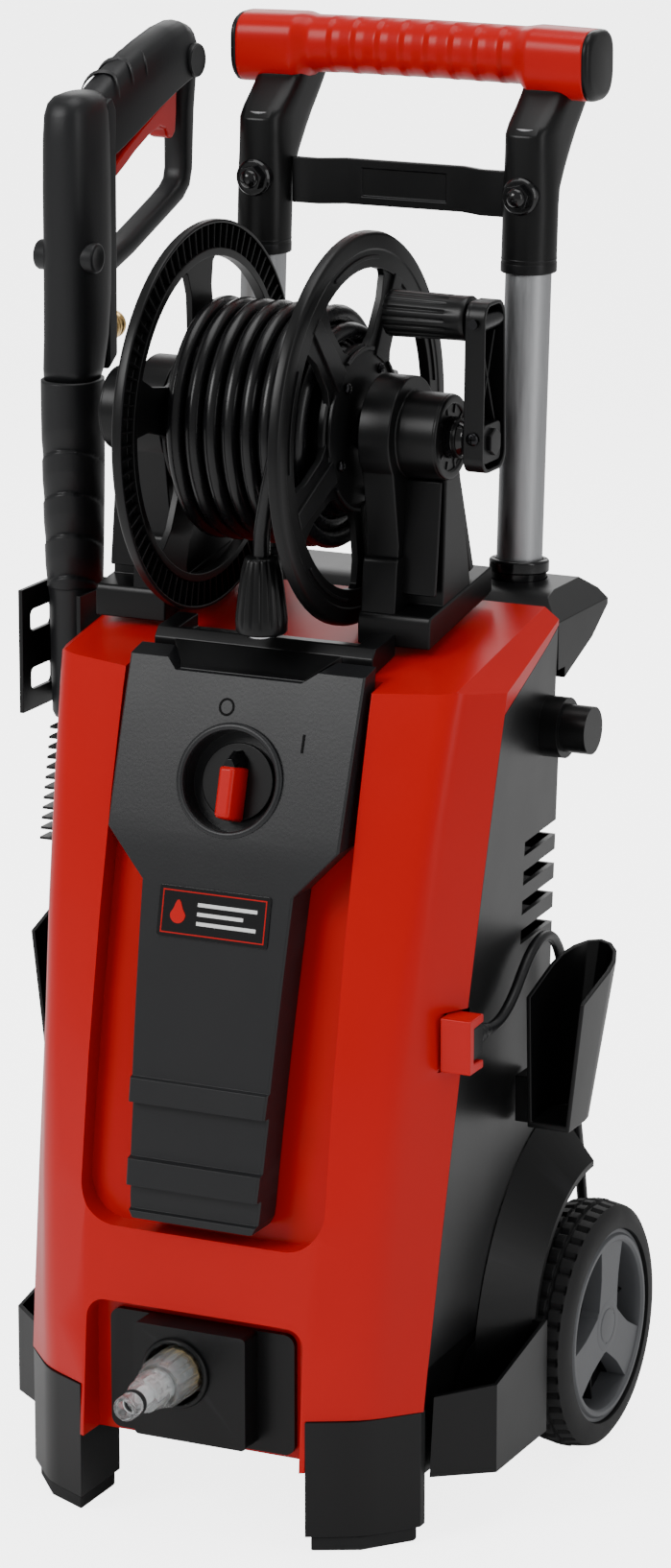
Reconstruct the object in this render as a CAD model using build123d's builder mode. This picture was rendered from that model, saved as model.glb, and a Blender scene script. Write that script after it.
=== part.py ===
"""Upright electric pressure washer on two wheels, with a hose reel, a telescopic handle and a stored gun.

Units are millimetres. X points to the machine's right-hand side, Y to the rear, Z up.
The origin lies on the floor below the middle of the machine.
"""
from build123d import *
from math import cos, pi, radians, sin, sqrt, tan
import os

os.makedirs("parts", exist_ok=True)

# ---------------------------------------------------------------- driving dimensions
WALL = 3.0                 # moulded cover thickness
GAP = 0.4                  # parting gap between neighbouring covers
FIT = 0.3                  # clearance between pieces that move against each other

TOP_Z = 530.0              # height of the front top edge
FLOOR_GAP = 37.0           # underside of the base above the floor
BASE_TOP = 112.0
BODY_REAR = 90.0
COVER_FOOT_Z = 85.0        # lower edge of the red legs, where the feet begin
LIP_Z = 52.0               # lower edge of the red cover between the feet

TYRE_R = 80.0
TYRE_W = 37.0
RIM_R = 63.0
WHEEL_OUT = 175.0          # outer face of a wheel
AXLE_Y = 100.0
AXLE_Z = TYRE_R
AXLE_R = 5.0

TUBE_X = 91.6              # telescopic tube axes
TUBE_R = 14.5
TUBE_Y = 145.7             # tube axis at TUBE_Z
TUBE_Z = 750.0
LEAN = 0.059               # rearward lean of the tubes, per unit of height
TUBE_LOW = 395.0
TUBE_HIGH = 838.0
SLEEVE_R = 17.4
GRIP_Y = 184.0
GRIP_Z = 876.0
GRIP_HALF = 124.0

REEL_Y = 18.2
REEL_Z = 666.4
FLANGE_R = 121.0
FLANGE_T = 7.0
FLANGE_LEFT = -73.5        # outer face of the left flange
FLANGE_RIGHT = 38.0        # outer face of the right flange
DRUM_R = 44.0
HOSE_D = 10.5
WOUND_R = 75.0

KNOB_Z = 466.0
INLET_X = -9.0
INLET_Z = 104.0
INLET_END = -221.0         # open end of the inlet nipple

GUN_X = -169.0
GUN_Y = 27.0               # lance axis
CORD_D = 7.0


def front_y(z):
    """Front face of the red cover in side view: a gentle forward bulge."""
    t = TOP_Z - z
    return -65.0 - 0.30 * t + 0.00025 * t * t


def crease_x(z):
    return 133.8 - 0.055 * (TOP_Z - z)


def crease_y(z):
    return front_y(z) + 10.0 + 0.018 * (TOP_Z - z)


def seam_x(z):
    return 150.8 - 0.0351 * (TOP_Z - z)


def seam_y(z):
    """Seam between the red cover and the black side cover."""
    t = TOP_Z - z
    return -15.0 - 0.24 * t + 0.0001 * t * t


def side_x(z):
    """Half width at the rear corner."""
    return 141.0 - 0.03 * (TOP_Z - z)


def tube_y(z):
    return TUBE_Y + LEAN * (z - TUBE_Z)


def tube_plane(x, z):
    """Plane across a telescopic tube, with its normal up along the tube."""
    return Plane(origin=(x, tube_y(z), z), x_dir=(1, 0, 0), z_dir=(0, LEAN, 1))


def across(x):
    """Plane with +X as normal, drawn in (Y, Z)."""
    return Plane(origin=(x, 0, 0), x_dir=(0, 1, 0), z_dir=(1, 0, 0))


def facing(y):
    """Plane with -Y as normal, drawn in (X, Z)."""
    return Plane(origin=(0, y, 0), x_dir=(1, 0, 0), z_dir=(0, -1, 0))


def save(builder, label):
    builder.part.label = label
    export_step(builder.part, "parts/" + label + ".step")


def outline(points):
    """Closed polygon face in the current sketch."""
    Polygon(*points, align=None)

# ---------------------------------------------------------------- body outline
HULL_LEVELS = (36.0, 120.0, 205.0, 290.0, 375.0, 450.0, 510.0, 575.0)
TOP_SLOPE = 0.19           # rise of the top towards the rear
TOP_AT_ZERO = 536.5        # height of the top at Y = 0


CREASE_REACH = 11.0        # how far the rounding runs to each side of the crease


def rounded(before, corner, after):
    """Four points that round the corner between two straight runs of a section."""
    ends = []
    for far in (before, after):
        share = CREASE_REACH / sqrt((far[0] - corner[0]) ** 2 + (far[1] - corner[1]) ** 2)
        ends.append([corner[i] + share * (far[i] - corner[i]) for i in (0, 1)])
    points = []
    for step in (0, 1 / 3, 2 / 3, 1):
        weights = ((1 - step) ** 2, 2 * step * (1 - step), step ** 2)
        points.append(tuple(
            weights[0] * ends[0][i] + weights[1] * corner[i] + weights[2] * ends[1][i] for i in (0, 1)
        ))
    return points


def hull_section(z, inset):
    x_in = 84.0 - 0.02 * (TOP_Z - z)
    inner = (x_in - 0.4 * inset, front_y(z) + inset)
    crease = (crease_x(z) - 0.7 * inset, crease_y(z) + 0.8 * inset)
    seam = (seam_x(z) - inset, seam_y(z) + 0.3 * inset)
    rear = (side_x(z) - inset, BODY_REAR - inset)
    half = [inner] + rounded(inner, crease, seam) + [seam, rear]
    return half + [(-x, y) for x, y in reversed(half)]


def body_hull(inset):
    """The closed outer form of the body, shrunk by inset."""
    with BuildPart() as hull:
        for z in HULL_LEVELS:
            with BuildSketch(Plane.XY.offset(z)):
                outline(hull_section(z, inset))
        loft(ruled=True)
        top = Plane(origin=(0, 0, TOP_AT_ZERO - inset), x_dir=(1, 0, 0), z_dir=(0, -TOP_SLOPE, 1))
        split(bisect_by=top, keep=Keep.BOTTOM)
        for side in (1, -1):
            corner = (side * 133.0, -55.0, 526.0 - 1.2 * inset)
            bevel = Plane(origin=corner, x_dir=(0, 1, TOP_SLOPE), z_dir=(side * 0.75, -TOP_SLOPE, 1))
            split(bisect_by=bevel, keep=Keep.BOTTOM)
    return hull.part


def face_slab(half_width, low, high, proud, depth, corner):
    """Slab that follows the front face, with round lower corners; proud and depth are its two faces."""
    steps = [low + (high - low) * i / 6 for i in range(7)]
    points = [(front_y(z) - proud, z) for z in steps]
    points += [(front_y(z) + depth, z) for z in reversed(steps)]
    with BuildPart() as slab:
        with BuildSketch(across(0)):
            outline(points)
        extrude(amount=half_width, both=True)
        with BuildSketch(facing(0)):
            with Locations((0, low + 250)):
                RectangleRounded(2 * half_width, 500, corner)
        extrude(amount=260, mode=Mode.INTERSECT)
    return slab.part

# ---------------------------------------------------------------- places on the front
PANEL_PROUD = 11.0
KNOB_TILT = 16.0           # the panel's upper half leans back by this angle
OUTLET_X = 147.5           # where the cord leaves its gland
OUTLET_Y = -58.0
OUTLET_Z = 314.0


def panel_face_y(z):
    """Front of the panel, which grows prouder of the cover towards its waist."""
    return front_y(z) - 4.0 - min(PANEL_PROUD - 4.0, 0.07 * (TOP_Z - z))


knob_plane = Plane(
    origin=(0, panel_face_y(KNOB_Z), KNOB_Z),
    x_dir=(1, 0, 0),
    z_dir=(0, -cos(radians(KNOB_TILT)), sin(radians(KNOB_TILT))),
)


def clip_pocket():
    """Room in the covers for the cord clip on the seam."""
    with BuildPart() as pocket:
        with BuildSketch(across(134)):
            with Locations((OUTLET_Y - 11, OUTLET_Z)):
                Rectangle(28, 36)
        extrude(amount=30)
    return pocket.part

# ---------------------------------------------------------------- red front cover
RECESS_HALF = 83.0
RECESS_LOW = 188.0
RECESS_DEPTH = 16.0
RECESS_CORNER = 26.0
INLET_HALF = 74.0
INLET_TOP = 141.0
INLET_FLOOR_Y = -129.5     # floor of the inlet recess
TOP_REAR = 80.0            # rear edge of the red top


def inlet_recess(grow):
    with BuildPart() as recess:
        with BuildSketch(facing(INLET_FLOOR_Y + grow)):
            with Locations((0, 80)):
                RectangleRounded(2 * (INLET_HALF + grow), 2 * (INLET_TOP - 80 + grow), 12 + grow)
        extrude(amount=60)
    return recess.part


with BuildPart() as cover_cavity:
    add(body_hull(WALL))
    behind_recess = face_slab(
        RECESS_HALF + WALL, RECESS_LOW - WALL, 600, 20, RECESS_DEPTH + WALL, RECESS_CORNER + WALL
    )
    add(behind_recess, mode=Mode.SUBTRACT)
    add(inlet_recess(WALL), mode=Mode.SUBTRACT)

with BuildPart() as front_cover:
    add(body_hull(0))
    add(face_slab(RECESS_HALF, RECESS_LOW, 600, 20, RECESS_DEPTH, RECESS_CORNER), mode=Mode.SUBTRACT)
    add(inlet_recess(0), mode=Mode.SUBTRACT)
    add(cover_cavity.part, mode=Mode.SUBTRACT)
    seam = [(seam_y(z), z) for z in (20, 110, 200, 300, 400, 480)]
    behind = seam + [(-20, 507), (60, 533), (TOP_REAR, 541), (TOP_REAR, 600), (220, 600), (220, 20)]
    with BuildSketch(across(0)):
        outline(behind)
    extrude(amount=200, both=True, mode=Mode.SUBTRACT)
    with BuildSketch(facing(0)):
        for side in (1, -1):
            with Locations((side * 127, COVER_FOOT_Z - 50)):
                Rectangle(100, 100)
        with Locations((0, LIP_Z - 50)):
            Rectangle(260, 100)
    extrude(amount=240, mode=Mode.SUBTRACT)
    with BuildSketch(facing(-100)):
        with Locations((INLET_X, INLET_Z)):
            Circle(20)
    extrude(amount=60, mode=Mode.SUBTRACT)
    with BuildSketch(knob_plane.offset(-50)):
        Circle(8)
    extrude(amount=40, mode=Mode.SUBTRACT)
    add(clip_pocket(), mode=Mode.SUBTRACT)
save(front_cover, "front_cover")

# ---------------------------------------------------------------- control panel
PANEL_LOW = 199.0
PANEL_RISE = 10.0          # the panel's shoulders stand above the red top
NOTCH_LOW = 526.0          # floor of the notch between the shoulders
KNOB_WELL_R = 32.5
KNOB_WELL_DEPTH = 15.0


def panel_outline(shrink):
    half = [
        (79.5 - shrink, 543.0), (78.0 - shrink, 432.0), (51.0 - shrink, 403.0),
        (47.0 - shrink, 290.0), (44.0 - shrink, PANEL_LOW + 6.0 + shrink),
        (39.0 - shrink, PANEL_LOW + shrink),
    ]
    return half + [(-x, z) for x, z in reversed(half)]


def panel_block(shrink, step_back):
    levels = [190 + 15 * i for i in range(17)] + [455, 480, 505, 525, 545]
    front = [(panel_face_y(z) + step_back, z) for z in levels]
    back = [(front_y(z) + RECESS_DEPTH - GAP, z) for z in reversed(levels)]
    with BuildPart() as block:
        with BuildSketch(across(0)):
            outline(front + back)
        extrude(amount=90, both=True)
        with BuildSketch(facing(0)):
            outline(panel_outline(shrink))
        extrude(amount=200, mode=Mode.INTERSECT)
        ridge = (0, 0, TOP_AT_ZERO + PANEL_RISE - shrink)
        roof = Plane(origin=ridge, x_dir=(1, 0, 0), z_dir=(0, -TOP_SLOPE, 1))
        split(bisect_by=roof, keep=Keep.BOTTOM)
        low = NOTCH_LOW - shrink
        with BuildSketch(facing(0)):
            outline([(-66 - shrink, 545), (-47 - shrink, low), (38 + shrink, low), (69 + shrink, 545)])
        extrude(amount=200, mode=Mode.SUBTRACT)
    return block.part


with BuildPart() as control_panel:
    add(panel_block(0, 0))
    add(panel_block(WALL, WALL), mode=Mode.SUBTRACT)
    with BuildSketch(knob_plane.offset(-KNOB_WELL_DEPTH - 2)):
        Circle(KNOB_WELL_R + 2)
    extrude(amount=KNOB_WELL_DEPTH)
    with BuildSketch(knob_plane.offset(-KNOB_WELL_DEPTH)):
        Circle(KNOB_WELL_R)
    extrude(amount=30, mode=Mode.SUBTRACT)
    with BuildSketch(knob_plane.offset(-KNOB_WELL_DEPTH - 5)):
        Circle(5 + FIT)
    extrude(amount=10, mode=Mode.SUBTRACT)
    for z in (277.0, 208.0):
        y = panel_face_y(z)
        with BuildSketch(across(0)):
            outline([(y + 4, z - 16), (y - 6, z - 8), (y - 4, z + 6), (y + 2, z + 6)])
        extrude(amount=39, both=True)
save(control_panel, "control_panel")

# ---------------------------------------------------------------- mode switch
with BuildPart() as switch_knob:
    with BuildSketch(knob_plane.offset(-KNOB_WELL_DEPTH + FIT)):
        Circle(24)
    extrude(amount=4)
    with BuildSketch(knob_plane.offset(-KNOB_WELL_DEPTH - 12)):
        Circle(5)
    extrude(amount=13)
save(switch_knob, "switch_knob")

with BuildPart() as switch_bar:
    with BuildSketch(knob_plane.offset(-KNOB_WELL_DEPTH + FIT + 4)):
        with Locations((0, -2)):
            SlotOverall(43, 12, rotation=90)
    extrude(amount=18)
    fillet(switch_bar.faces().sort_by(Axis.Y)[0].edges(), 1.5)
save(switch_bar, "switch_bar")

# ---------------------------------------------------------------- inlet plate and filter
PLATE_Y = INLET_FLOOR_Y
BOSS_Y = PLATE_Y - 22.0

with BuildPart() as inlet_plate:
    with BuildSketch(facing(PLATE_Y - GAP)):
        with Locations((0, 94)):
            RectangleRounded(126, 78, 7)
    extrude(amount=4)
    with BuildSketch(facing(PLATE_Y - 4)):
        with Locations((0, 96.5)):
            RectangleRounded(76, 73, 3)
    extrude(amount=18)
    with BuildSketch(facing(PLATE_Y + 5)):
        with Locations((INLET_X, INLET_Z)):
            Circle(19)
    extrude(amount=40, mode=Mode.SUBTRACT)
save(inlet_plate, "inlet_plate")


def inlet_ring(start, length, outer, inner):
    """Ring on the inlet axis, from start towards the open end."""
    with BuildPart() as ring:
        with BuildSketch(facing(start)):
            with Locations((INLET_X, INLET_Z)):
                Circle(outer)
                Circle(inner, mode=Mode.SUBTRACT)
        extrude(amount=length)
    return ring.part


with BuildPart() as inlet_fitting:
    add(inlet_ring(-100, 50, 13.1, 7))
    add(inlet_ring(-100, 6, 17, 7))
save(inlet_fitting, "inlet_fitting")

with BuildPart() as union_nut:
    add(inlet_ring(-143, 34, 16.8, 13.2))
    add(inlet_ring(-171, 6, 16.8, 12))
    with BuildSketch(facing(-143)):
        with Locations((INLET_X, INLET_Z)):
            with PolarLocations(18.6, 8):
                Circle(3)
    extrude(amount=34, mode=Mode.SUBTRACT)
save(union_nut, "union_nut")

with BuildPart() as filter_body:
    add(inlet_ring(-151, 4, 12.9, 6))
    add(inlet_ring(-155, 24, 11.7, 9.5))
    add(inlet_ring(-179, 17, 14.5, 9.5))
    add(inlet_ring(-196, 4, 14.5, 5))
    add(inlet_ring(-200, -INLET_END - 200, 8, 5))
    with BuildSketch(facing(-211)):
        with Locations((INLET_X, INLET_Z)):
            Circle(8.5)
            Circle(6.6, mode=Mode.SUBTRACT)
    extrude(amount=3.4, mode=Mode.SUBTRACT)
save(filter_body, "filter_body")

# ---------------------------------------------------------------- base, feet and axle
with BuildPart() as base_frame:
    with BuildSketch(Plane.XY.offset(FLOOR_GAP)):
        outline([(-128, -96), (128, -96), (128, 140), (-128, 140)])
    extrude(amount=BASE_TOP - FLOOR_GAP)
    with BuildSketch(Plane.XY.offset(FLOOR_GAP + 4)):
        with Locations((0, 20)):
            Rectangle(248, 220)
    extrude(amount=BASE_TOP - FLOOR_GAP, mode=Mode.SUBTRACT)
    with BuildSketch(across(0)):
        with Locations((AXLE_Y, AXLE_Z)):
            Circle(12)
    extrude(amount=134, both=True)
    with BuildSketch(across(0)):
        with Locations((AXLE_Y, AXLE_Z)):
            Circle(AXLE_R + 0.05)
    extrude(amount=140, both=True, mode=Mode.SUBTRACT)
save(base_frame, "base_frame")

with BuildPart() as axle:
    with BuildSketch(across(0)):
        with Locations((AXLE_Y, AXLE_Z)):
            Circle(AXLE_R)
    extrude(amount=170, both=True)
save(axle, "axle")

FOOT_INNER = 77.0
PAD_T = 10.0
foot_front = (FOOT_INNER, -149.0)
foot_side = (134.0, -103.5)
foot_plan = [foot_front] + rounded(foot_front, (108.5, -133.0), foot_side)
foot_plan += [foot_side, (134.0, -96.5), (FOOT_INNER, -96.5)]
foot_hollow = [
    (FOOT_INNER + 4, -142.0), (106.5, -128.0), (126.0, -105.0), (126.0, -100.5), (FOOT_INNER + 4, -100.5),
]
pad_plan = [
    (FOOT_INNER + 2, -145.5), (107.0, -131.5), (130.0, -104.0), (130.0, -99.0), (FOOT_INNER + 2, -99.0),
]

with BuildPart() as front_feet:
    for side in (-1, 1):
        with BuildSketch(Plane.XY.offset(PAD_T)):
            outline([(side * x, y) for x, y in foot_plan])
        extrude(amount=COVER_FOOT_Z - PAD_T - GAP)
        with BuildSketch(Plane.XY.offset(PAD_T + WALL)):
            outline([(side * x, y) for x, y in foot_hollow])
        extrude(amount=COVER_FOOT_Z, mode=Mode.SUBTRACT)
save(front_feet, "front_feet")

with BuildPart() as foot_pads:
    with BuildSketch(Plane.XY):
        for side in (-1, 1):
            outline([(side * x, y) for x, y in pad_plan])
    extrude(amount=PAD_T)
save(foot_pads, "foot_pads")

# ---------------------------------------------------------------- wheels
def wheel_rim(side):
    with BuildPart() as rim:
        with BuildSketch(across(side * (WHEEL_OUT - 31))):
            with Locations((AXLE_Y, AXLE_Z)):
                Circle(RIM_R)
        extrude(amount=side * 31)
        for start, length in ((WHEEL_OUT - 31, 11), (WHEEL_OUT - 8, 8)):
            with BuildSketch(across(side * start)):
                with Locations((AXLE_Y, AXLE_Z)):
                    Circle(RIM_R - 7)
                    Circle(17, mode=Mode.SUBTRACT)
            extrude(amount=side * length, mode=Mode.SUBTRACT)
        with BuildSketch(across(side * (WHEEL_OUT - 12))):
            with Locations((AXLE_Y, AXLE_Z)):
                with PolarLocations(0, 3, start_angle=80):
                    Rectangle(RIM_R - 5, 26, align=(Align.MIN, Align.CENTER))
                Circle(24)
        extrude(amount=side * 12)
        with BuildSketch(across(side * 100)):
            with Locations((AXLE_Y, AXLE_Z)):
                Circle(AXLE_R + 0.05)
        extrude(amount=side * 72, mode=Mode.SUBTRACT)
    return rim


def tyre(side):
    with BuildPart() as ring:
        with BuildSketch(across(side * (WHEEL_OUT - TYRE_W))):
            with Locations((AXLE_Y, AXLE_Z)):
                Circle(TYRE_R)
                Circle(RIM_R, mode=Mode.SUBTRACT)
        extrude(amount=side * TYRE_W)
        fillet(ring.edges().filter_by(GeomType.CIRCLE).sort_by(SortBy.RADIUS)[-2:], 6)
    return ring


for side, word in ((-1, "left"), (1, "right")):
    save(wheel_rim(side), "wheel_rim_" + word)
    save(tyre(side), "tyre_" + word)

# ---------------------------------------------------------------- side covers, trays and arches
LOUVRE_Z = (409.0, 390.0, 371.0, 352.0)
LOUVRE_H = 9.0
COMB_COUNT = 12
COMB_PITCH = 6.2


def side_cover(side):
    """Black side moulding from the red seam round the rear corner."""
    with BuildPart() as cover:
        add(body_hull(0))
        add(body_hull(WALL), mode=Mode.SUBTRACT)
        behind_seam = [(seam_y(z) + GAP, z) for z in (BASE_TOP, 200, 300, 400, 480)]
        behind_seam += [(-20 + GAP, 507 - GAP), (60, 533 - GAP), (92, 545), (92, BASE_TOP)]
        with BuildSketch(across(side * 112)):
            outline(behind_seam)
        extrude(amount=side * 60, mode=Mode.INTERSECT)
        with BuildSketch(across(side * 110)):
            for z in LOUVRE_Z:
                with Locations((64, z)):
                    Rectangle(64, LOUVRE_H)
        extrude(amount=side * 60, mode=Mode.SUBTRACT)
        with BuildSketch(across(side * 110)):
            with Locations((104, 515)):
                Rectangle(50, 90)
        extrude(amount=side * 60, mode=Mode.SUBTRACT)
        if side > 0:
            with BuildSketch(across(138)):
                with Locations((66, 480)):
                    Circle(19)
            extrude(amount=17)
            with BuildSketch(across(138)):
                with Locations((66, 480)):
                    Circle(15)
            extrude(amount=34)
        else:
            for i in range(COMB_COUNT):
                level = 399 + COMB_PITCH * i
                with BuildSketch(Plane.XY.offset(level)):
                    with Locations((-150, seam_y(level) + 10)):
                        Rectangle(16, 14)
                extrude(amount=1.6)
        add(clip_pocket(), mode=Mode.SUBTRACT)
    return cover


for side, name in ((-1, "side_cover_left"), (1, "side_cover_right")):
    save(side_cover(side), name)

ARCH_Y = 107.0
ARCH_Z = 92.0


def side_tray(side):
    """Open accessory tray in front of a wheel, moulded with the wheel arch above it."""
    plan = [(131, -90), (167, -63), (167, 15), (131, 15)]
    inner = [(133.5, -85), (164.5, -61.5), (164.5, 12), (133.5, 12)]
    with BuildPart() as tray:
        with BuildSketch(Plane.XY.offset(FLOOR_GAP)):
            outline([(side * x, y) for x, y in plan])
        extrude(amount=76)
        with BuildSketch(Plane.XY.offset(FLOOR_GAP + 3)):
            outline([(side * x, y) for x, y in inner])
        extrude(amount=80, mode=Mode.SUBTRACT)
        rim_cut = Plane(origin=(0, 0, 108), x_dir=(1, 0, 0), z_dir=(0, -0.216, 1))
        split(bisect_by=rim_cut, keep=Keep.BOTTOM)
        profile = [(131, 130), (159, 95), (159, 91), (156, 91), (156, 93.5), (131, 125)]
        arch_plane = Plane(origin=(0, ARCH_Y, ARCH_Z), x_dir=(1, 0, 0), z_dir=(0, -1, 0))
        with BuildSketch(arch_plane):
            outline([(side * x, r) for x, r in profile])
        revolve(axis=Axis((0, ARCH_Y, ARCH_Z), (1, 0, 0)), revolution_arc=94)
        with BuildSketch(across(side * 100)):
            with Locations((AXLE_Y, AXLE_Z)):
                Circle(TYRE_R + 2)
        extrude(amount=side * 90, mode=Mode.SUBTRACT)
        add(body_hull(-GAP), mode=Mode.SUBTRACT)
    return tray


for side, name in ((-1, "side_tray_left"), (1, "side_tray_right")):
    save(side_tray(side), name)

# ---------------------------------------------------------------- rear
SHOULDER_TOP = 556.0
GUIDE_R = 18.5

with BuildPart() as rear_cover:
    with BuildSketch(facing(88)):
        with Locations((0, 312)):
            Rectangle(220, 396)
    extrude(amount=4)
    with BuildSketch(facing(95)):
        with GridLocations(52, 13, 2, 9):
            with Locations((0, 330)):
                SlotOverall(44, 6)
    extrude(amount=20, mode=Mode.SUBTRACT)
save(rear_cover, "rear_cover")

with BuildPart() as back_frame:
    shoulder = [
        (TOP_REAR + GAP, 512), (TOP_REAR + GAP, 545), (95, 554), (110, SHOULDER_TOP), (150, SHOULDER_TOP),
        (160, 548), (160, 538), (135, 522), (91, 505), (91, 512),
    ]
    with BuildSketch(across(0)):
        outline(shoulder)
    extrude(amount=142, both=True)
    for side in (1, -1):
        bevel = Plane(origin=(side * 126, 130, SHOULDER_TOP), x_dir=(0, 1, 0), z_dir=(side * 1, 0, 1.15))
        split(bisect_by=bevel, keep=Keep.BOTTOM)
    for x in (-TUBE_X, TUBE_X):
        with BuildSketch(tube_plane(x, BASE_TOP + 4)):
            Circle(GUIDE_R)
        extrude(amount=SHOULDER_TOP - BASE_TOP - 20)
    with BuildSketch(across(0)):
        outline([(112, BASE_TOP + GAP), (124, BASE_TOP + GAP), (125, 200), (114, 200)])
    extrude(amount=TUBE_X, both=True)
    split(bisect_by=Plane.XY.offset(BASE_TOP + GAP), keep=Keep.TOP)
    for x in (-TUBE_X, TUBE_X):
        with BuildSketch(tube_plane(x, 200)):
            Circle(TUBE_R + FIT)
        extrude(amount=400, mode=Mode.SUBTRACT)
        with BuildSketch(tube_plane(x, 552)):
            Circle(18)
        extrude(amount=20, mode=Mode.SUBTRACT)
save(back_frame, "back_frame")

with BuildPart() as tube_collars:
    for x in (-TUBE_X, TUBE_X):
        with BuildSketch(tube_plane(x, 552)):
            Circle(17.5)
        extrude(amount=9)
        with BuildSketch(tube_plane(x, 560)):
            Circle(19)
        extrude(amount=8)
        with BuildSketch(tube_plane(x, 540)):
            Circle(TUBE_R + FIT)
        extrude(amount=40, mode=Mode.SUBTRACT)
    fillet(tube_collars.faces().sort_by(Axis.Z)[-2:].edges().filter_by(GeomType.CIRCLE), 2)
save(tube_collars, "tube_collars")

# ---------------------------------------------------------------- telescopic handle
with BuildPart() as handle_tubes:
    for x in (-TUBE_X, TUBE_X):
        with BuildSketch(tube_plane(x, TUBE_LOW)):
            Circle(TUBE_R)
            Circle(TUBE_R - 1.6, mode=Mode.SUBTRACT)
        extrude(amount=TUBE_HIGH - TUBE_LOW)
save(handle_tubes, "handle_tubes")

with BuildPart() as handle_frame:
    for x in (-TUBE_X, TUBE_X):
        with BuildSketch(tube_plane(x, TUBE_Z - 2)):
            Circle(SLEEVE_R)
        extrude(amount=95)
        socket = [
            (132, 832), (166, 862), (170, 880), (186, 888), (202, 880), (214, 852), (176, 800), (150, 800),
        ]
        with BuildSketch(across(x)):
            outline(socket)
        extrude(amount=16, both=True)
    with BuildSketch(across(0)):
        with Locations((GRIP_Y, GRIP_Z)):
            Circle(12)
    extrude(amount=GRIP_HALF - 5, both=True)
    for x in (-TUBE_X, TUBE_X):
        with BuildSketch(tube_plane(x, TUBE_Z - 10)):
            Circle(TUBE_R)
        extrude(amount=(TUBE_HIGH - TUBE_Z + 10) * sqrt(1 + LEAN * LEAN), mode=Mode.SUBTRACT)
save(handle_frame, "handle_frame")

with BuildPart() as grip_shell:
    with BuildSketch(across(0)):
        with Locations((GRIP_Y, GRIP_Z)):
            Ellipse(18.5, 19)
    extrude(amount=GRIP_HALF - 5, both=True)
    for x in (-TUBE_X, TUBE_X):
        with BuildSketch(across(x)):
            with Locations((GRIP_Y - 1, GRIP_Z - 2)):
                Ellipse(21, 21.5)
        extrude(amount=20, both=True)
    with BuildSketch(across(0)):
        outline([(150, 858), (182, 858), (214, 850), (214, 800), (120, 800)])
    extrude(amount=GRIP_HALF, both=True, mode=Mode.SUBTRACT)
    add(handle_frame.part, mode=Mode.SUBTRACT)
save(grip_shell, "grip_shell")

with BuildPart() as grip_caps:
    for side in (-1, 1):
        with BuildSketch(across(side * (GRIP_HALF - 5))):
            with Locations((GRIP_Y, GRIP_Z)):
                Ellipse(18.5, 19)
        extrude(amount=side * 5)
save(grip_caps, "grip_caps")

with BuildPart() as crossbar:
    bar_plan = [
        (-74, 150), (-56, 150), (-40, 158), (40, 158), (56, 150), (74, 150), (74, 154.5), (57, 154.5),
        (41, 162.5), (-41, 162.5), (-57, 154.5), (-74, 154.5),
    ]
    with BuildSketch(Plane.XY.offset(780)):
        outline(bar_plan)
    extrude(amount=29)
    with BuildSketch(facing(150)):
        with Locations((0, 794.5)):
            Rectangle(58, 18)
    extrude(amount=-9.5, mode=Mode.SUBTRACT)
save(crossbar, "crossbar")

with BuildPart() as handle_bolts:
    for x in (-TUBE_X, TUBE_X):
        with BuildSketch(facing(tube_y(797) - SLEEVE_R + 2)):
            with Locations((x, 797)):
                RegularPolygon(7, 6)
        extrude(amount=9)
    add(handle_frame.part, mode=Mode.SUBTRACT)
save(handle_bolts, "handle_bolts")

# ---------------------------------------------------------------- hose reel
def reel_flange(outer_face, direction):
    """Spoked disc with a deep toothed rim, extruded inward from its outer face."""
    with BuildPart() as flange:
        with BuildSketch(across(outer_face)):
            with Locations((REEL_Y, REEL_Z)):
                Circle(FLANGE_R)
                Circle(98, mode=Mode.SUBTRACT)
                Circle(50)
                with PolarLocations(0, 5, start_angle=18):
                    Rectangle(104, 24, align=(Align.MIN, Align.CENTER))
        extrude(amount=direction * FLANGE_T)
        with BuildSketch(across(outer_face)):
            with Locations((REEL_Y, REEL_Z)):
                Circle(12.3)
        extrude(amount=direction * 20, mode=Mode.SUBTRACT)
    return flange


save(reel_flange(FLANGE_LEFT, 1), "reel_flange_left")
save(reel_flange(FLANGE_RIGHT, -1), "reel_flange_right")

WIND_LEFT = FLANGE_LEFT + FLANGE_T
WIND_RIGHT = FLANGE_RIGHT - FLANGE_T

with BuildPart() as reel_drum:
    with BuildSketch(across(WIND_LEFT)):
        with Locations((REEL_Y, REEL_Z)):
            Circle(DRUM_R)
            Circle(12.3, mode=Mode.SUBTRACT)
    extrude(amount=WIND_RIGHT - WIND_LEFT)
save(reel_drum, "reel_drum")

with BuildPart() as reel_shaft:
    with BuildSketch(across(-110)):
        with Locations((REEL_Y, REEL_Z)):
            Circle(12.2)
    extrude(amount=110 + 104)
save(reel_shaft, "reel_shaft")

with BuildPart() as hose_winding:
    with BuildSketch(across(WIND_LEFT)):
        with Locations((REEL_Y, REEL_Z)):
            Circle(WOUND_R)
            Circle(DRUM_R, mode=Mode.SUBTRACT)
    extrude(amount=WIND_RIGHT - WIND_LEFT)
save(hose_winding, "hose_winding")

HUB_R = 35.5
HUB_SMALL_R = 26.5


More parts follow.
